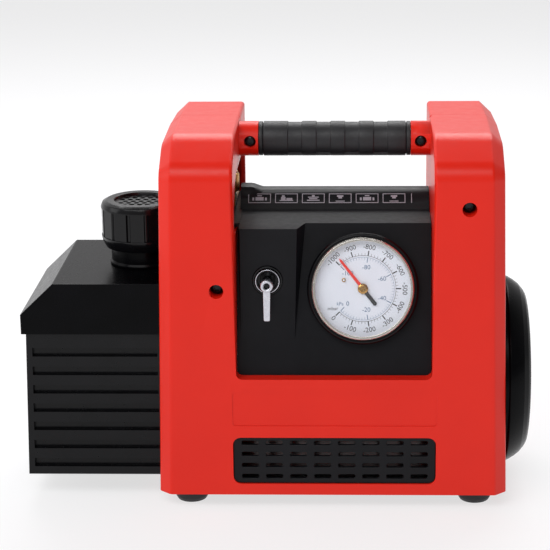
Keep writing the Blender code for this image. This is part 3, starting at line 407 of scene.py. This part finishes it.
def drill(piece, cutter_bm):
    """Cuts a bmesh out of a piece and drops the cutter."""
    mesh = bpy.data.meshes.new("cutter")
    bmesh.ops.recalc_face_normals(cutter_bm, faces=cutter_bm.faces)
    cutter_bm.to_mesh(mesh)
    cutter_bm.free()
    cutter = bpy.data.objects.new("cutter", mesh)
    bpy.context.scene.collection.objects.link(cutter)
    modifier = piece.modifiers.new("drill", "BOOLEAN")
    modifier.operation = "DIFFERENCE"
    modifier.object = cutter
    drilled = evaluated_mesh(piece)
    piece.modifiers.clear()
    piece.data = drilled
    bpy.data.objects.remove(cutter)
    drilled.shade_smooth()
    drilled.set_sharp_from_angle(angle=math.radians(35))
    return piece


def lettering(bm, text, size, frame_matrix, u, v, degrees, low, high):
    """Adds upright letters, centred on (u, v) of a frame and turned by an angle."""
    curve = bpy.data.curves.new("lettering", "FONT")
    curve.body = text
    curve.size = size * MM
    curve.align_x = "CENTER"
    curve.align_y = "CENTER"
    curve.extrude = (high - low) / 2 * MM
    curve.resolution_u = 3
    holder = bpy.data.objects.new("lettering", curve)
    bpy.context.scene.collection.objects.link(holder)
    mesh = evaluated_mesh(holder)
    place = Matrix.Translation((u * MM, v * MM, (low + high) / 2 * MM))
    mesh.transform(frame_matrix @ place @ Matrix.Rotation(math.radians(degrees), 4, "Z"))
    bm.from_mesh(mesh)
    bpy.data.objects.remove(holder)
    bpy.data.meshes.remove(mesh)


# ---------------------------------------------------------------- red housing

GAP_SIDES = (-30.2, 119.2)     # inner walls of the pillars
SILL_Z = 106.4                 # shelf between the pillars
HARD_EDGE = math.radians(20.0)


def side_of(face):
    """Which of the housing's outer surfaces a face belongs to, if any."""
    normal = face.normal
    center = face.calc_center_median() / MM
    outward = normal.y * center.y + normal.z * (center.z - 150.0) > 0
    if abs(normal.x) > 0.99:
        if abs(center.x - GAP_SIDES[0 if normal.x > 0 else 1]) < 0.1:
            return "gap"
        return "wall" if (center.x - 43.0) * normal.x > 120.0 else None
    if abs(normal.x) < 0.02:
        if normal.z > 0.99 and abs(center.z - SILL_Z) < 0.2:
            return "sill"
        if abs(normal.y) > 0.99 and abs(center.y) > 81.9 and outward:
            return "hoop"
        if GAP_SIDES[0] < center.x < GAP_SIDES[1]:
            return "gap" if center.z < 113.0 and center.y < -60.0 and normal.z > 0 else None
        return "hoop" if outward and (abs(center.y) > 74.0 or center.z > 262.0) else None
    beyond = center.x < -70.0 or center.x > 156.0
    facing_out = abs(normal.x) < 0.92 and normal.x * (center.x - 43.0) > 0 and outward
    return "chamfer" if beyond and facing_out and (abs(center.y) > 60.0 or center.z > 262.0) else None


def hard_edges(bm, wanted):
    """Convex edges between two faces whose surfaces are a wanted pair."""
    found = []
    for edge in bm.edges:
        if len(edge.link_faces) != 2 or edge.calc_face_angle() < HARD_EDGE:
            continue
        if edge.calc_face_angle_signed() > 0 and {side_of(face) for face in edge.link_faces} in wanted:
            found.append(edge)
    return found


def round_edges(bm, edges, width, segments):
    bmesh.ops.bevel(bm, geom=edges, offset=width * MM, offset_type="OFFSET", segments=segments,
                    profile=0.5, affect="EDGES", clamp_overlap=False, miter_outer="SHARP",
                    loop_slide=True)


def round_housing(bm):
    """Wide rounding round the window between the pillars, a narrower one along the chamfer."""
    round_edges(bm, hard_edges(bm, ({"gap", "hoop"}, {"sill", "hoop"})), 2.8, 4)
    creases = []
    for edge in hard_edges(bm, ({"chamfer", "wall"}, {"chamfer", "hoop"})):
        center = (edge.verts[0].co + edge.verts[1].co) / 2 / MM
        if center.y < 55.0 or center.z < 262.0:
            creases.append(edge)
    round_edges(bm, creases, 1.3, 3)
    return bm


def make_housing():
    for node, name in (("front_shell", "front_moulding"), ("rear_shell", "rear_moulding")):
        piece = add_piece(name, round_housing(cad_copy(node)), "red", "root", (node,),
                          smooth_degrees=30)
        keep_faces_flat(piece)


# ---------------------------------------------------------------- handle and screws

GRIP_RAISED = 13.6
GRIP_LOW = 12.9
GRIP_RIB_Z = -9.6              # the recessed bands end on a full-size rib along the underside
GRIP_BORE = 8.4
GRIP_RING = 3.0                # width of the ring at each end
GRIP_GROOVE = 0.7              # beside each end ring
GRIP_BANDS = 4
GRIP_FIRST_BAND = 17.5         # from the right end
GRIP_PITCH = 22.3
GRIP_BAND = 11.5


def grip_shape(radius, height, angle):
    """Fills the recessed bands out to the full radius along the underside."""
    if radius > GRIP_RAISED - 0.2 or radius < GRIP_LOW - 0.5:
        return radius
    return GRIP_RAISED - 0.05 if math.sin(angle) * GRIP_LOW < GRIP_RIB_Z else radius


def grip_outline(half):
    """Sleeve between the end rings, about its middle; a low spacer fills the groove at each end."""
    spacer = GRIP_LOW - 0.6
    ring = half - GRIP_RING
    end = ring - GRIP_GROOVE
    outline = [(spacer, ring), (spacer, end), (GRIP_RAISED, end)]
    for index in range(GRIP_BANDS):
        top = half - GRIP_FIRST_BAND - GRIP_PITCH * index
        foot = top - GRIP_BAND
        outline += [(GRIP_RAISED, top), (GRIP_LOW, top - 0.5), (GRIP_LOW, foot + 0.5),
                    (GRIP_RAISED, foot)]
    return outline + [(GRIP_RAISED, -end), (spacer, -end), (spacer, -ring), (GRIP_BORE, -ring),
                      (GRIP_BORE, ring)]


def make_handle():
    low, high = box_mm("handle_grip")
    center = (low + high) / 2
    half = (high.x - low.x) / 2
    along = (1, 0, 0)
    sleeve = round_profile(grip_outline(half), 0.45, 3, closed=True)
    add_turned("grip_sleeve", sleeve, center, along, "rubber", "root", ("handle_grip",), "black_rubber",
               shape=grip_shape, steps=120)
    outer_r = GRIP_RAISED - 0.2
    for side, name in ((1, "right"), (-1, "left")):
        low_end, high_end = sorted((side * (half - GRIP_RING), side * half))
        end = [(outer_r, high_end), (outer_r, low_end), (GRIP_BORE, low_end), (GRIP_BORE, high_end)]
        add_turned("grip_end_ring_" + name, round_profile(end, 0.6, 4, closed=True), center, along,
                   "rubber", "root", (), "black_plastic")


def screw_head(node, name, radius):
    """Domed socket screw in place of a plain CAD one."""
    low, high = box_mm(node)
    center = (low + high) / 2
    head = high.y - low.y
    tip = -low.y
    profile = [(0, tip), (radius * 0.55, tip - 0.05), (radius * 0.86, tip - 0.6), (radius, tip - 1.9),
               (radius, tip - 3.3), (2.0, tip - 3.3), (2.0, tip - head), (0, tip - head)]
    place = (center.x, 0, center.z)
    toward = (0, -1, 0)
    piece = add_turned(name, round_profile(profile, 0.3, 3), place, toward, "black_steel", "root",
                       (node,), "blackened_steel")
    socket_r = radius * 0.5
    socket = [(0, tip + 1), (socket_r, tip + 1), (socket_r, tip - 1.8), (0, tip - 1.8)]
    return drill(piece, revolved(socket, place, toward, steps=6))


def make_screws():
    for side in ("left", "right"):
        screw_head("shell_screw_" + side, "shell_socket_screw_" + side, 5.2)
        screw_head("handle_screw_" + side, "handle_socket_screw_" + side, 4.4)


# ---------------------------------------------------------------- cowl and its pictograms

def roll_point(x, along, height):
    """Point on the roll: along is the distance up its face from the height of its axis."""
    angle = along / ROLL_R
    reach = ROLL_R + height
    return Vector((x, ROLL_Y - reach * math.cos(angle), ROLL_Z + reach * math.sin(angle))) * MM


def roll_strip(bm, x0, x1, along0, along1, height=0.06):
    """Thin closed patch that follows the roll."""
    steps = max(1, round((along1 - along0) / 0.8))
    rows = []
    for step in range(steps + 1):
        along = along0 + (along1 - along0) * step / steps
        rows.append([bm.verts.new(roll_point(x, along, lift)) for x, lift in
                     ((x0, 0.0), (x1, 0.0), (x1, height), (x0, height))])
    for row, following in zip(rows, rows[1:]):
        for index in range(4):
            other = (index + 1) % 4
            bm.faces.new((row[index], row[other], following[other], following[index]))
    bm.faces.new(rows[0])
    bm.faces.new(rows[-1])


def picture_bars(kind):
    """Generic pictures made of bars, in a box 1 wide and 1 high: x0, x1, low, high."""
    lamp = [(0.42, 0.58, 0.45, 0.8), (0.36, 0.64, 0.62, 0.8), (0.3, 0.7, 0.14, 0.22)]
    pump = [(0.2, 0.8, 0.2, 0.3), (0.26, 0.46, 0.3, 0.62), (0.5, 0.76, 0.3, 0.5),
            (0.3, 0.42, 0.62, 0.8)]
    tank = [(0.22, 0.78, 0.22, 0.32), (0.32, 0.68, 0.38, 0.48), (0.26, 0.74, 0.54, 0.64),
            (0.44, 0.56, 0.64, 0.84)]
    case = [(0.18, 0.26, 0.25, 0.55), (0.74, 0.82, 0.25, 0.55), (0.32, 0.68, 0.25, 0.6),
            (0.4, 0.6, 0.7, 0.8)]
    return {"lamp": lamp, "pump": pump, "tank": tank, "case": case}[kind]


def make_pictograms():
    """Six framed pictures with no words, printed along the roll."""
    left = -23.7
    pitch = 21.2
    width = 17.8
    low = 9.0
    high = 17.4
    height = high - low
    line = 0.55
    bm = bmesh.new()
    for index, kind in enumerate(("case", "pump", "tank", "lamp", "case", "lamp")):
        x0 = left + pitch * index
        x1 = x0 + width
        roll_strip(bm, x0, x1, low, low + line)
        roll_strip(bm, x0, x1, high - line, high)
        roll_strip(bm, x0, x0 + line, low + line, high - line)
        roll_strip(bm, x1 - line, x1, low + line, high - line)
        for u0, u1, v0, v1 in picture_bars(kind):
            roll_strip(bm, x0 + u0 * width, x0 + u1 * width, low + v0 * height, low + v1 * height)
    end = left + pitch * 6 + 1.2
    roll_strip(bm, end, end + line, low, high)
    add_piece("pictogram_print", bm, "white_ink", "root", ())


def rectangle(u, v, width, height):
    return [(u - width / 2, v - height / 2), (u + width / 2, v - height / 2),
            (u + width / 2, v + height / 2), (u - width / 2, v + height / 2)]


GRILLE_COLUMNS = 8
GRILLE_ROWS = 4
GRILLE_FIRST = (-20.3, 54.4)   # centre of the top left slot
GRILLE_PITCH = (18.6, 9.2)
GRILLE_SLOT = (13.2, 3.5)
GRILLE_CORNER_R = 5.7


def make_grille():
    """Plate with rows of round-ended slots."""
    low, high = box_mm("front_grille")
    center = (low + high) / 2
    size = high - low
    plate = bmesh.new()
    corners = rectangle(center.x, center.z, size.x, size.z)
    slab(plate, round_profile(corners, GRILLE_CORNER_R, 8, closed=True), FRONTAL, -high.y, -low.y)
    piece = add_piece("grille_moulding", plate, "cowl", "root", ("front_grille",))
    slots = bmesh.new()
    for column in range(GRILLE_COLUMNS):
        for row in range(GRILLE_ROWS):
            u = GRILLE_FIRST[0] + GRILLE_PITCH[0] * column
            v = GRILLE_FIRST[1] - GRILLE_PITCH[1] * row
            slot = round_profile(rectangle(u, v, *GRILLE_SLOT), 1.7, 5, closed=True)
            slab(slots, slot, FRONTAL, -high.y - 1.0, -low.y + 1.0)
    drill(piece, slots)
    add_bevel(piece, 0.4, 2, 40)


def make_cowl():
    softened("instrument_cowl", "cowl_moulding", "cowl", 1.0, "root")
    make_grille()
    make_pictograms()


# ---------------------------------------------------------------- gauge

def dial_frame():
    """The dial's own axes (x right, y up the panel, z out of it) in the row frame, in metres."""
    rotation = Matrix((PANEL_RIGHT, PANEL_UP, PANEL_NORMAL)).transposed().to_4x4()
    return Matrix.Translation(GAUGE_CENTER * MM) @ rotation


DIAL = dial_frame()
PRINT_LOW = 5.11               # just above the dial's face
PRINT_HIGH = 5.15
ARC_R = 25.1
OUTER_LABEL_R = 31.9
INNER_LABEL_R = 16.4


def tick(bm, degrees, inner, outer, width):
    side = Vector(polar(width / 2, degrees + 90))
    start = Vector(polar(inner, degrees))
    end = Vector(polar(outer, degrees))
    slab(bm, [start - side, end - side, end + side, start + side], DIAL, PRINT_LOW, PRINT_HIGH)


def scale_arc(bm, radius, width):
    steps = 90
    sweep = DEGREES_PER_STEP * SCALE_STEPS
    for step in range(steps):
        start = SCALE_START + sweep * step / steps
        end = SCALE_START + sweep * (step + 1) / steps
        slab(bm, [polar(radius, start), polar(radius + width, start), polar(radius + width, end),
                  polar(radius, end)], DIAL, PRINT_LOW, PRINT_HIGH)


def upright_angle(degrees):
    """Turn of a label so that it follows the scale and is never upside down."""
    return degrees - 90 if math.sin(math.radians(degrees)) > -0.05 else degrees + 90


def print_on_dial(bm, text, size, place, degrees=0):
    lettering(bm, text, size, DIAL, *place, degrees, PRINT_LOW, PRINT_HIGH)


def make_outer_scale():
    bm = bmesh.new()
    scale_arc(bm, ARC_R, 0.28)
    for index in range(SCALE_STEPS * TICKS_PER_STEP + 1):
        degrees = SCALE_START + DEGREES_PER_STEP * index / TICKS_PER_STEP
        if index % TICKS_PER_STEP:
            tick(bm, degrees, ARC_R, ARC_R + 2.0, 0.22)
        else:
            tick(bm, degrees, ARC_R, ARC_R + 4.1, 0.85)
    for step in range(SCALE_STEPS + 1):
        degrees = SCALE_START + DEGREES_PER_STEP * step
        print_on_dial(bm, str(-100 * step), 5.3, polar(OUTER_LABEL_R, degrees), upright_angle(degrees))
    print_on_dial(bm, "mbar", 3.9, (-22.9, -15.3))
    add_piece("dial_outer_scale", bm, "ink", "root", ())


def make_inner_scale():
    bm = bmesh.new()
    scale_arc(bm, ARC_R - 1.2, 0.2)
    for index in range(SCALE_STEPS * TICKS_PER_STEP + 1):
        degrees = SCALE_START + DEGREES_PER_STEP * index / TICKS_PER_STEP
        if index % (2 * TICKS_PER_STEP):
            tick(bm, degrees, ARC_R - 3.0, ARC_R - 1.2, 0.2)
        else:
            tick(bm, degrees, ARC_R - 5.0, ARC_R - 1.2, 0.55)
    for step in range(0, SCALE_STEPS + 1, 2):
        degrees = SCALE_START + DEGREES_PER_STEP * step
        print_on_dial(bm, str(-10 * step), 4.9, polar(INNER_LABEL_R, degrees))
    print_on_dial(bm, "kPa", 3.7, (-17.4, -11.7))
    add_piece("dial_inner_scale", bm, "blue_ink", "root", ())


def make_pointer():
    """Red blade, black tail and brass hub, all on the pointer's body."""
    turn = DIAL @ Matrix.Rotation(math.radians(POINTER_ANGLE), 4, "Z")
    blade = bmesh.new()
    slab(blade, [(2.0, -1.2), (27.0, -0.95), (29.4, 0), (27.0, 0.95), (2.0, 1.2)], turn, 6.0, 6.6)
    add_piece("pointer_blade", blade, "pointer", "gauge_pointer", ("gauge_pointer",))
    tail = bmesh.new()
    end_arc = [(-14.6 + 1.5 * math.cos(math.radians(a)), 1.5 * math.sin(math.radians(a)))
               for a in range(90, 271, 15)]
    slab(tail, [(-2.0, -1.4)] + [(-2.0, 1.4)] + end_arc, turn, 6.0, 6.6)
    add_piece("pointer_tail", tail, "ink", "gauge_pointer", ())
    hub = round_profile([(0, 7.8), (2.6, 7.8), (4.0, 7.1), (4.0, 5.5), (0, 5.5)], 0.4)
    add_turned("pointer_hub", hub, GAUGE_CENTER, PANEL_NORMAL, "brass", "gauge_pointer", (), "brass",
               steps=48)


def gauge_ring(name, profile, radius, finish, replaced=(), slot=None):
    return add_turned(name, round_profile(profile, radius, 4, closed=True), GAUGE_CENTER, PANEL_NORMAL,
                      finish, "root", replaced, slot, steps=128)


def make_gauge():
    flange = [(38.5, 8.6), (41.2, 8.6), (42.6, 7.0), (42.7, 0.4), (37.9, 0.4), (37.9, -20.0),
              (35.6, -20.0), (35.6, 4.0), (38.5, 4.0)]
    gauge_ring("gauge_black_ring", flange, 0.8, "gloss", ("gauge_case",), "blackened_steel")
    back = [(0, -19.0), (35.4, -19.0), (35.4, -20.0), (0, -20.0)]
    add_turned("gauge_case_back", back, GAUGE_CENTER, PANEL_NORMAL, "black_steel", "root", (),
               "blackened_steel")
    lip = [(36.4, 11.6), (38.0, 11.6), (39.0, 10.6), (39.0, 8.8), (38.3, 8.7), (38.3, 10.4),
           (36.4, 10.4)]
    gauge_ring("gauge_bright_lip", lip, 0.4, "chrome", ("gauge_bezel",), "bright_steel")
    wall = [(37.0, 8.2), (38.2, 8.2), (38.2, 5.2), (37.0, 5.2)]
    gauge_ring("gauge_inner_wall", wall, 0.2, "chrome", (), "bright_steel")
    pin = round_profile([(0, 6.3), (1.5, 6.3), (1.5, 4.9), (0, 4.9)], 0.3)
    pin_place = DIAL @ (Vector((-14.6, 6.5, 0)) * MM) / MM
    add_turned("gauge_stop_pin", pin, pin_place, PANEL_NORMAL, "brass", "root", (), "brass", steps=32)
    make_outer_scale()
    make_inner_scale()
    make_pointer()


# ---------------------------------------------------------------- isolation valve

def make_valve_body(place, toward):
    """Black seat and collar with a thin bright rim."""
    seat = round_profile([(9.8, 61.9), (11.4, 61.9), (11.4, 57.8), (9.8, 57.8)], 0.5, 4, closed=True)
    add_turned("valve_seat_ring", seat, place, toward, "gloss", "root", ("valve_seat",), "black_plastic")
    body = [(0, 49.0), (3.3, 49.0), (3.3, 59.0), (5.6, 59.0), (5.6, 60.6), (7.4, 60.6), (7.4, 63.1),
            (8.5, 63.1), (8.5, 62.4), (9.3, 62.4), (9.3, 36.0), (0, 36.0)]
    add_turned("valve_collar", round_profile(body, 0.3, 4), place, toward, "gloss", "root",
               ("valve_body",), "bright_steel")
    rim = round_profile([(8.55, 63.6), (9.3, 63.6), (9.3, 62.45), (8.55, 62.45)], 0.25, 3, closed=True)
    add_turned("valve_bright_rim", rim, place, toward, "nickel", "root", (), "bright_steel")


def make_valve_lever(place, toward):
    """Stem, a thin black disc as painted shade in its bore, and the hanging arm, all on the lever's
    body.
    """
    body = "valve_lever"
    stem = [(0, 74.4), (2.3, 74.4), (2.3, 76.6), (3.0, 77.2), (4.3, 77.2), (4.9, 76.6), (4.9, 72.0),
            (2.9, 71.0), (2.9, 51.0), (0, 51.0)]
    add_turned("valve_stem", round_profile(stem, 0.4, 4), place, toward, "nickel", body,
               ("valve_lever",), "bright_steel")
    # Painted shade: a thin black disc at the bottom of the stem's bore darkens the hole
    socket = round_profile([(0, 74.9), (2.2, 74.9), (2.2, 74.45), (0, 74.45)], 0.15, 3)
    add_turned("valve_bore_shade_disc", socket, place, toward, "gloss", body, (), "blackened_steel",
               steps=32)
    outline = [(-2.0, -27.6), (1.8, -27.6), (2.3, -26.6), (2.8, -4.0), (-2.8, -4.0), (-2.5, -26.6)]
    bm = bmesh.new()
    slab(bm, outline, Matrix.Translation(Vector(place) * MM) @ FRONTAL, 74.4, 76.8)
    add_bevel(add_piece("valve_arm", bm, "nickel", body, ()), 0.45, 3)


def make_valve():
    place = (LEVER_AXIS.x, 0, LEVER_AXIS.z)
    toward = (0, -1, 0)
    make_valve_body(place, toward)
    make_valve_lever(place, toward)


# ---------------------------------------------------------------- oil tank and exhaust

CAP_FLATS = 14
CAP_R = 31.8
CAP_FLAT_Z = (200.6, 222.4)
HOLE_PITCH = 6.2
HOLE_R = 2.2
HOLE_FIELD_R = 17.9


def cap_shape(radius, height, angle):
    """Flats round the cap, with a narrow groove between each two."""
    if radius < CAP_R - 0.4 or not CAP_FLAT_Z[0] <= height <= CAP_FLAT_Z[1]:
        return radius
    sector = math.tau / CAP_FLATS
    off = abs((angle % sector) - sector / 2)
    flat = (CAP_R - 0.75) / math.cos(off)
    in_groove = off > sector / 2 - math.radians(1.7)
    return min(radius, flat) - (1.6 if in_groove else 0.0)


def hole_centers():
    """Hexagonal grid of holes inside the cap's disc."""
    reach = 4
    for row in range(-reach, reach + 1):
        for column in range(-reach, reach + 1):
            u = HOLE_PITCH * (column + row / 2)
            v = HOLE_PITCH * row * math.sqrt(3) / 2
            if math.hypot(u, v) < HOLE_FIELD_R:
                yield u, v


def make_exhaust_cap():
    low, high = CAP_FLAT_Z
    crown = [(20.6, 226.0), (21.3, 228.2), (27.2, 228.3), (30.6, 226.6), (CAP_R, 223.6)]
    side = [(CAP_R, high + 0.1), (CAP_R, high), (CAP_R, high - 0.6), (CAP_R, low + 0.6), (CAP_R, low),
            (CAP_R, low - 0.1)]
    skirt = [(CAP_R, 199.4), (30.7, 195.6), (28.6, 191.4), (25.3, 191.4), (25.3, 222.4), (0, 222.4)]
    profile = [(0, 226.0)] + round_profile(crown, 1.0, 4) + side + skirt
    place = (CAP_AXIS.x, CAP_AXIS.y, 0)
    upward = (0, 0, 1)
    cap = add_turned("exhaust_cap_moulding", profile, place, upward, "gloss", "exhaust_cap",
                     ("exhaust_cap",), "black_plastic", shape=cap_shape, steps=CAP_FLATS * 16)
    holes = bmesh.new()
    for u, v in hole_centers():
        matrix = Matrix.Translation(((place[0] + u) * MM, (place[1] + v) * MM, 225.0 * MM))
        bmesh.ops.create_cone(holes, cap_ends=True, segments=16, radius1=HOLE_R * MM,
                              radius2=HOLE_R * MM, depth=12.0 * MM, matrix=matrix)
    drill(cap, holes)
    neck = [(22.9, 205.0), (22.9, 190.9), (24.6, 190.9), (24.6, 180.6), (25.6, 179.0), (25.6, 177.3),
            (20.0, 177.3), (20.0, 205.0)]
    add_turned("exhaust_neck_turned", round_profile(neck, 0.6, 4, closed=True), place, upward, "paint",
               "root", ("exhaust_neck",), "black_paint")


def plug_shape(radius, height, angle):
    """Six flats on the drain plug's head."""
    if radius < 6.0:
        return radius
    sector = math.tau / 6
    off = (angle % sector) - sector / 2
    return min(radius, 6.7 / math.cos(off))


def make_sight_glass():
    """Bright ring round the glass, and the oil behind it."""
    glass = middle("sight_glass")
    bezel = [(9.7, 0.55), (14.0, 0.55), (14.0, 0.0), (9.7, 0.0), (9.7, -2.0), (8.2, -2.0), (8.2, 0.3)]
    place = (-196.0, glass.y, glass.z)
    add_turned("sight_glass_ring", round_profile(bezel, 0.25, 3, closed=True), place, (-1, 0, 0),
               "nickel", "root", ("sight_glass_bezel",), "bright_steel")
    oil_r = 8.9
    lower_half = [polar(oil_r, degrees) for degrees in range(180, 361, 12)]
    sideways = Matrix(((0, 0, 1, 0), (1, 0, 0, glass.y * MM), (0, 1, 0, glass.z * MM), (0, 0, 0, 1)))
    oil = bmesh.new()
    slab(oil, lower_half, sideways, -187.6, -187.0)
    add_piece("sight_glass_oil", oil, "oil", "root", ())


def make_drain_plug():
    plug = middle("drain_plug")
    profile = [(0, 68.0), (6.4, 68.0), (7.5, 67.0), (7.5, 62.8), (5.0, 62.8), (5.0, 52.0), (0, 52.0)]
    add_turned("drain_plug_hex", round_profile(profile, 0.2, 3), (plug.x, 0, plug.z), (0, 1, 0), "brass",
               "root", ("drain_plug",), "brass", shape=plug_shape, steps=72)


def make_oil_tank():
    softened("oil_tank", "tank_casting", "tank_paint", 0.7, "root", 3, 35)
    softened("tank_lid", "lid_casting", "paint", 1.2, "root", 4, 20)
    make_sight_glass()
    make_drain_plug()


# ---------------------------------------------------------------- fan cover, inlets, back

VENT_SLOTS = 12


def make_fan_cover():
    outline = [(0, 196.7), (57.5, 196.7), (60.5, 196.1), (63.5, 194.4), (67.8, 190.8), (70.8, 187.0),
               (73.2, 183.0), (75.0, 179.2), (71.9, 179.2), (71.9, 165.0), (69.4, 165.0), (69.4, 182.4),
               (65.6, 189.2), (61.6, 192.4), (57.0, 194.0), (0, 194.0)]
    place = (0, 0, SHAFT_AXIS.z)
    cover = add_turned("fan_cover_pressing", round_profile(outline, 2.4, 5), place, (1, 0, 0), "paint",
                       "root", ("fan_cover",), "black_paint", steps=128)
    ends = [polar(2.2, degrees) for degrees in range(0, 181, 20)]
    slot = [(u, v + 45.8) for u, v in ends] + [(-u, -v + 22.2) for u, v in ends]
    center = Matrix.Translation(Vector(place) * MM)
    sideways = Matrix(((0, 0, 1, 0), (1, 0, 0, 0), (0, 1, 0, 0), (0, 0, 0, 1)))
    slots = bmesh.new()
    for index in range(VENT_SLOTS):
        turn = Matrix.Rotation(math.tau * index / VENT_SLOTS, 4, "X")
        slab(slots, slot, center @ turn @ sideways, 188.0, 205.0)
    drill(cover, slots)
    add_bevel(cover, 0.5, 2, 40)


def knurl(radius, height, angle):
    """Shallow knurl on a port cap's rim."""
    if radius <= 8.9:
        return radius
    in_cut = round(angle / math.tau * SMOOTH) % 2
    return radius - (0.22 if in_cut else 0.0)


def make_inlets():
    softened("inlet_manifold", "manifold_casting", "brass", 0.6, "root", 3)
    for size, radius, stub in (("large", 12.0, 8.0), ("small", 9.0, 5.8)):
        node = "inlet_cap_" + size
        low, high = box_mm(node)
        center = (low + high) / 2
        profile = [(0, high.z), (radius - 1.2, high.z), (radius, high.z - 1.2), (radius, low.z),
                   (stub + 0.5, low.z), (stub + 0.5, high.z - 3.4), (0, high.z - 3.4)]
        add_turned("port_cap_" + size, round_profile(profile, 0.35, 3), (center.x, center.y, 0),
                   (0, 0, 1), "brass", node, (node,), "brass", shape=knurl)


def make_back():
    softened("power_inlet", "inlet_moulding", "cowl", 0.5, "root", 2)
    softened("power_switch", "rocker", "gloss", 0.5, "power_switch", 3)
    softened("base_plate", "base_pressing", "black_steel", 0.6, "root", 2)
    foot = [(0, 11.7), (13, 11.7), (13, 3), (11.4, 0), (3.4, 0), (3.0, 1.2), (0, 1.2)]
    for number in range(1, 5):
        node = "foot_" + str(number)
        center = middle(node)
        add_turned("rubber_" + node, round_profile(foot, 0.8), (center.x, center.y, 0), (0, 0, 1),
                   "rubber", "root", (node,), "black_rubber", steps=64)


# ---------------------------------------------------------------- studio

def make_floor():
    bm = bmesh.new()
    bmesh.ops.create_grid(bm, x_segments=8, y_segments=8, size=9.0)
    mesh = bpy.data.meshes.new("floor")
    bm.to_mesh(mesh)
    bm.free()
    paper = Surface("pale_floor", "9A9A9C", 0.9, Specular_IOR_Level=0.1).tint("969698", 0.001, 0.5)
    paper.shader.inputs["Emission Color"].default_value = (1, 1, 1, 1)
    paper.shader.inputs["Emission Strength"].default_value = 0.68
    mesh.materials.append(paper.material)
    floor = bpy.data.objects.new("floor", mesh)
    bpy.context.scene.collection.objects.link(floor)


def softbox(name, place, target, width, height, radiance):
    """Rectangular light of even radiance, all in metres."""
    light = bpy.data.lights.new(name, "AREA")
    light.shape = "RECTANGLE"
    light.size = width
    light.size_y = height
    light.energy = radiance * math.pi * width * height
    holder = bpy.data.objects.new(name, light)
    bpy.context.scene.collection.objects.link(holder)
    holder.location = place
    holder.rotation_euler = (Vector(target) - Vector(place)).to_track_quat("-Z", "Y").to_euler()


def make_world():
    """Pale surround: brightest low behind and to the left, dim overhead and in front."""
    world = bpy.data.worlds.new("studio")
    bpy.context.scene.world = world
    world.use_nodes = True
    tree = world.node_tree
    background = tree.nodes["Background"]
    place = tree.nodes.new("ShaderNodeTexCoord")
    split = tree.nodes.new("ShaderNodeSeparateXYZ")
    tree.links.new(place.outputs["Generated"], split.inputs[0])

    def ranged(source, start, end, low, high):
        node = tree.nodes.new("ShaderNodeMapRange")
        node.interpolation_type = "SMOOTHSTEP"
        for socket, value in zip(("From Min", "From Max", "To Min", "To Max"), (start, end, low, high)):
            node.inputs[socket].default_value = value
        tree.links.new(source, node.inputs["Value"])
        return node.outputs["Result"]

    def math_node(operation, first, second):
        node = tree.nodes.new("ShaderNodeMath")
        node.operation = operation
        tree.links.new(first, node.inputs[0])
        tree.links.new(second, node.inputs[1])
        return node.outputs[0]

    behind = ranged(split.outputs["Y"], -0.3, 0.7, 0.4, 0.85)
    leftward = ranged(split.outputs["X"], -0.9, 0.9, 1.15, 0.6)
    overhead = ranged(split.outputs["Z"], 0.45, 0.9, 1.0, 0.5)
    level = math_node("MULTIPLY", math_node("MULTIPLY", behind, leftward), overhead)
    background.inputs["Color"].default_value = (1.0, 0.99, 1.0, 1.0)
    tree.links.new(level, background.inputs["Strength"])


def make_camera():
    """Camera a little above the pump and in front of it."""
    pitch = math.radians(15.568)
    yaw = math.radians(-1.594)
    roll = math.radians(0.45)
    ahead = Vector((math.sin(yaw) * math.cos(pitch), math.cos(yaw) * math.cos(pitch), -math.sin(pitch)))
    level_right = Vector((math.cos(yaw), -math.sin(yaw), 0))
    level_up = level_right.cross(ahead)
    right = level_right * math.cos(roll) - level_up * math.sin(roll)
    up = level_right * math.sin(roll) + level_up * math.cos(roll)
    data = bpy.data.cameras.new("camera")
    data.lens = 117.818
    data.shift_x = -0.06
    data.shift_y = -0.06
    camera = bpy.data.objects.new("camera", data)
    bpy.context.scene.collection.objects.link(camera)
    rotation = Matrix((right, up, -ahead)).transposed().to_4x4()
    camera.matrix_world = Matrix.Translation((0.06145, -1.372763, 0.57514)) @ rotation
    bpy.context.scene.camera = camera


def make_studio():
    bpy.context.scene.view_settings.view_transform = "Standard"
    make_camera()
    make_floor()
    make_world()
    target = (0, 0, 0.15)
    softbox("front_box", (-0.5, -1.2, 1.45), target, 1.8, 0.7, 4.4)
    softbox("back_box", (0.1, 1.2, 1.5), target, 1.9, 1.0, 4.6)
    softbox("left_box", (-1.6, -0.3, 0.7), target, 0.8, 0.9, 1.6)


def build():
    finish_cad_nodes()
    make_housing()
    make_handle()
    make_screws()
    make_cowl()
    make_gauge()
    make_valve()
    make_oil_tank()
    make_exhaust_cap()
    make_fan_cover()
    make_inlets()
    make_back()
    make_studio()


build()
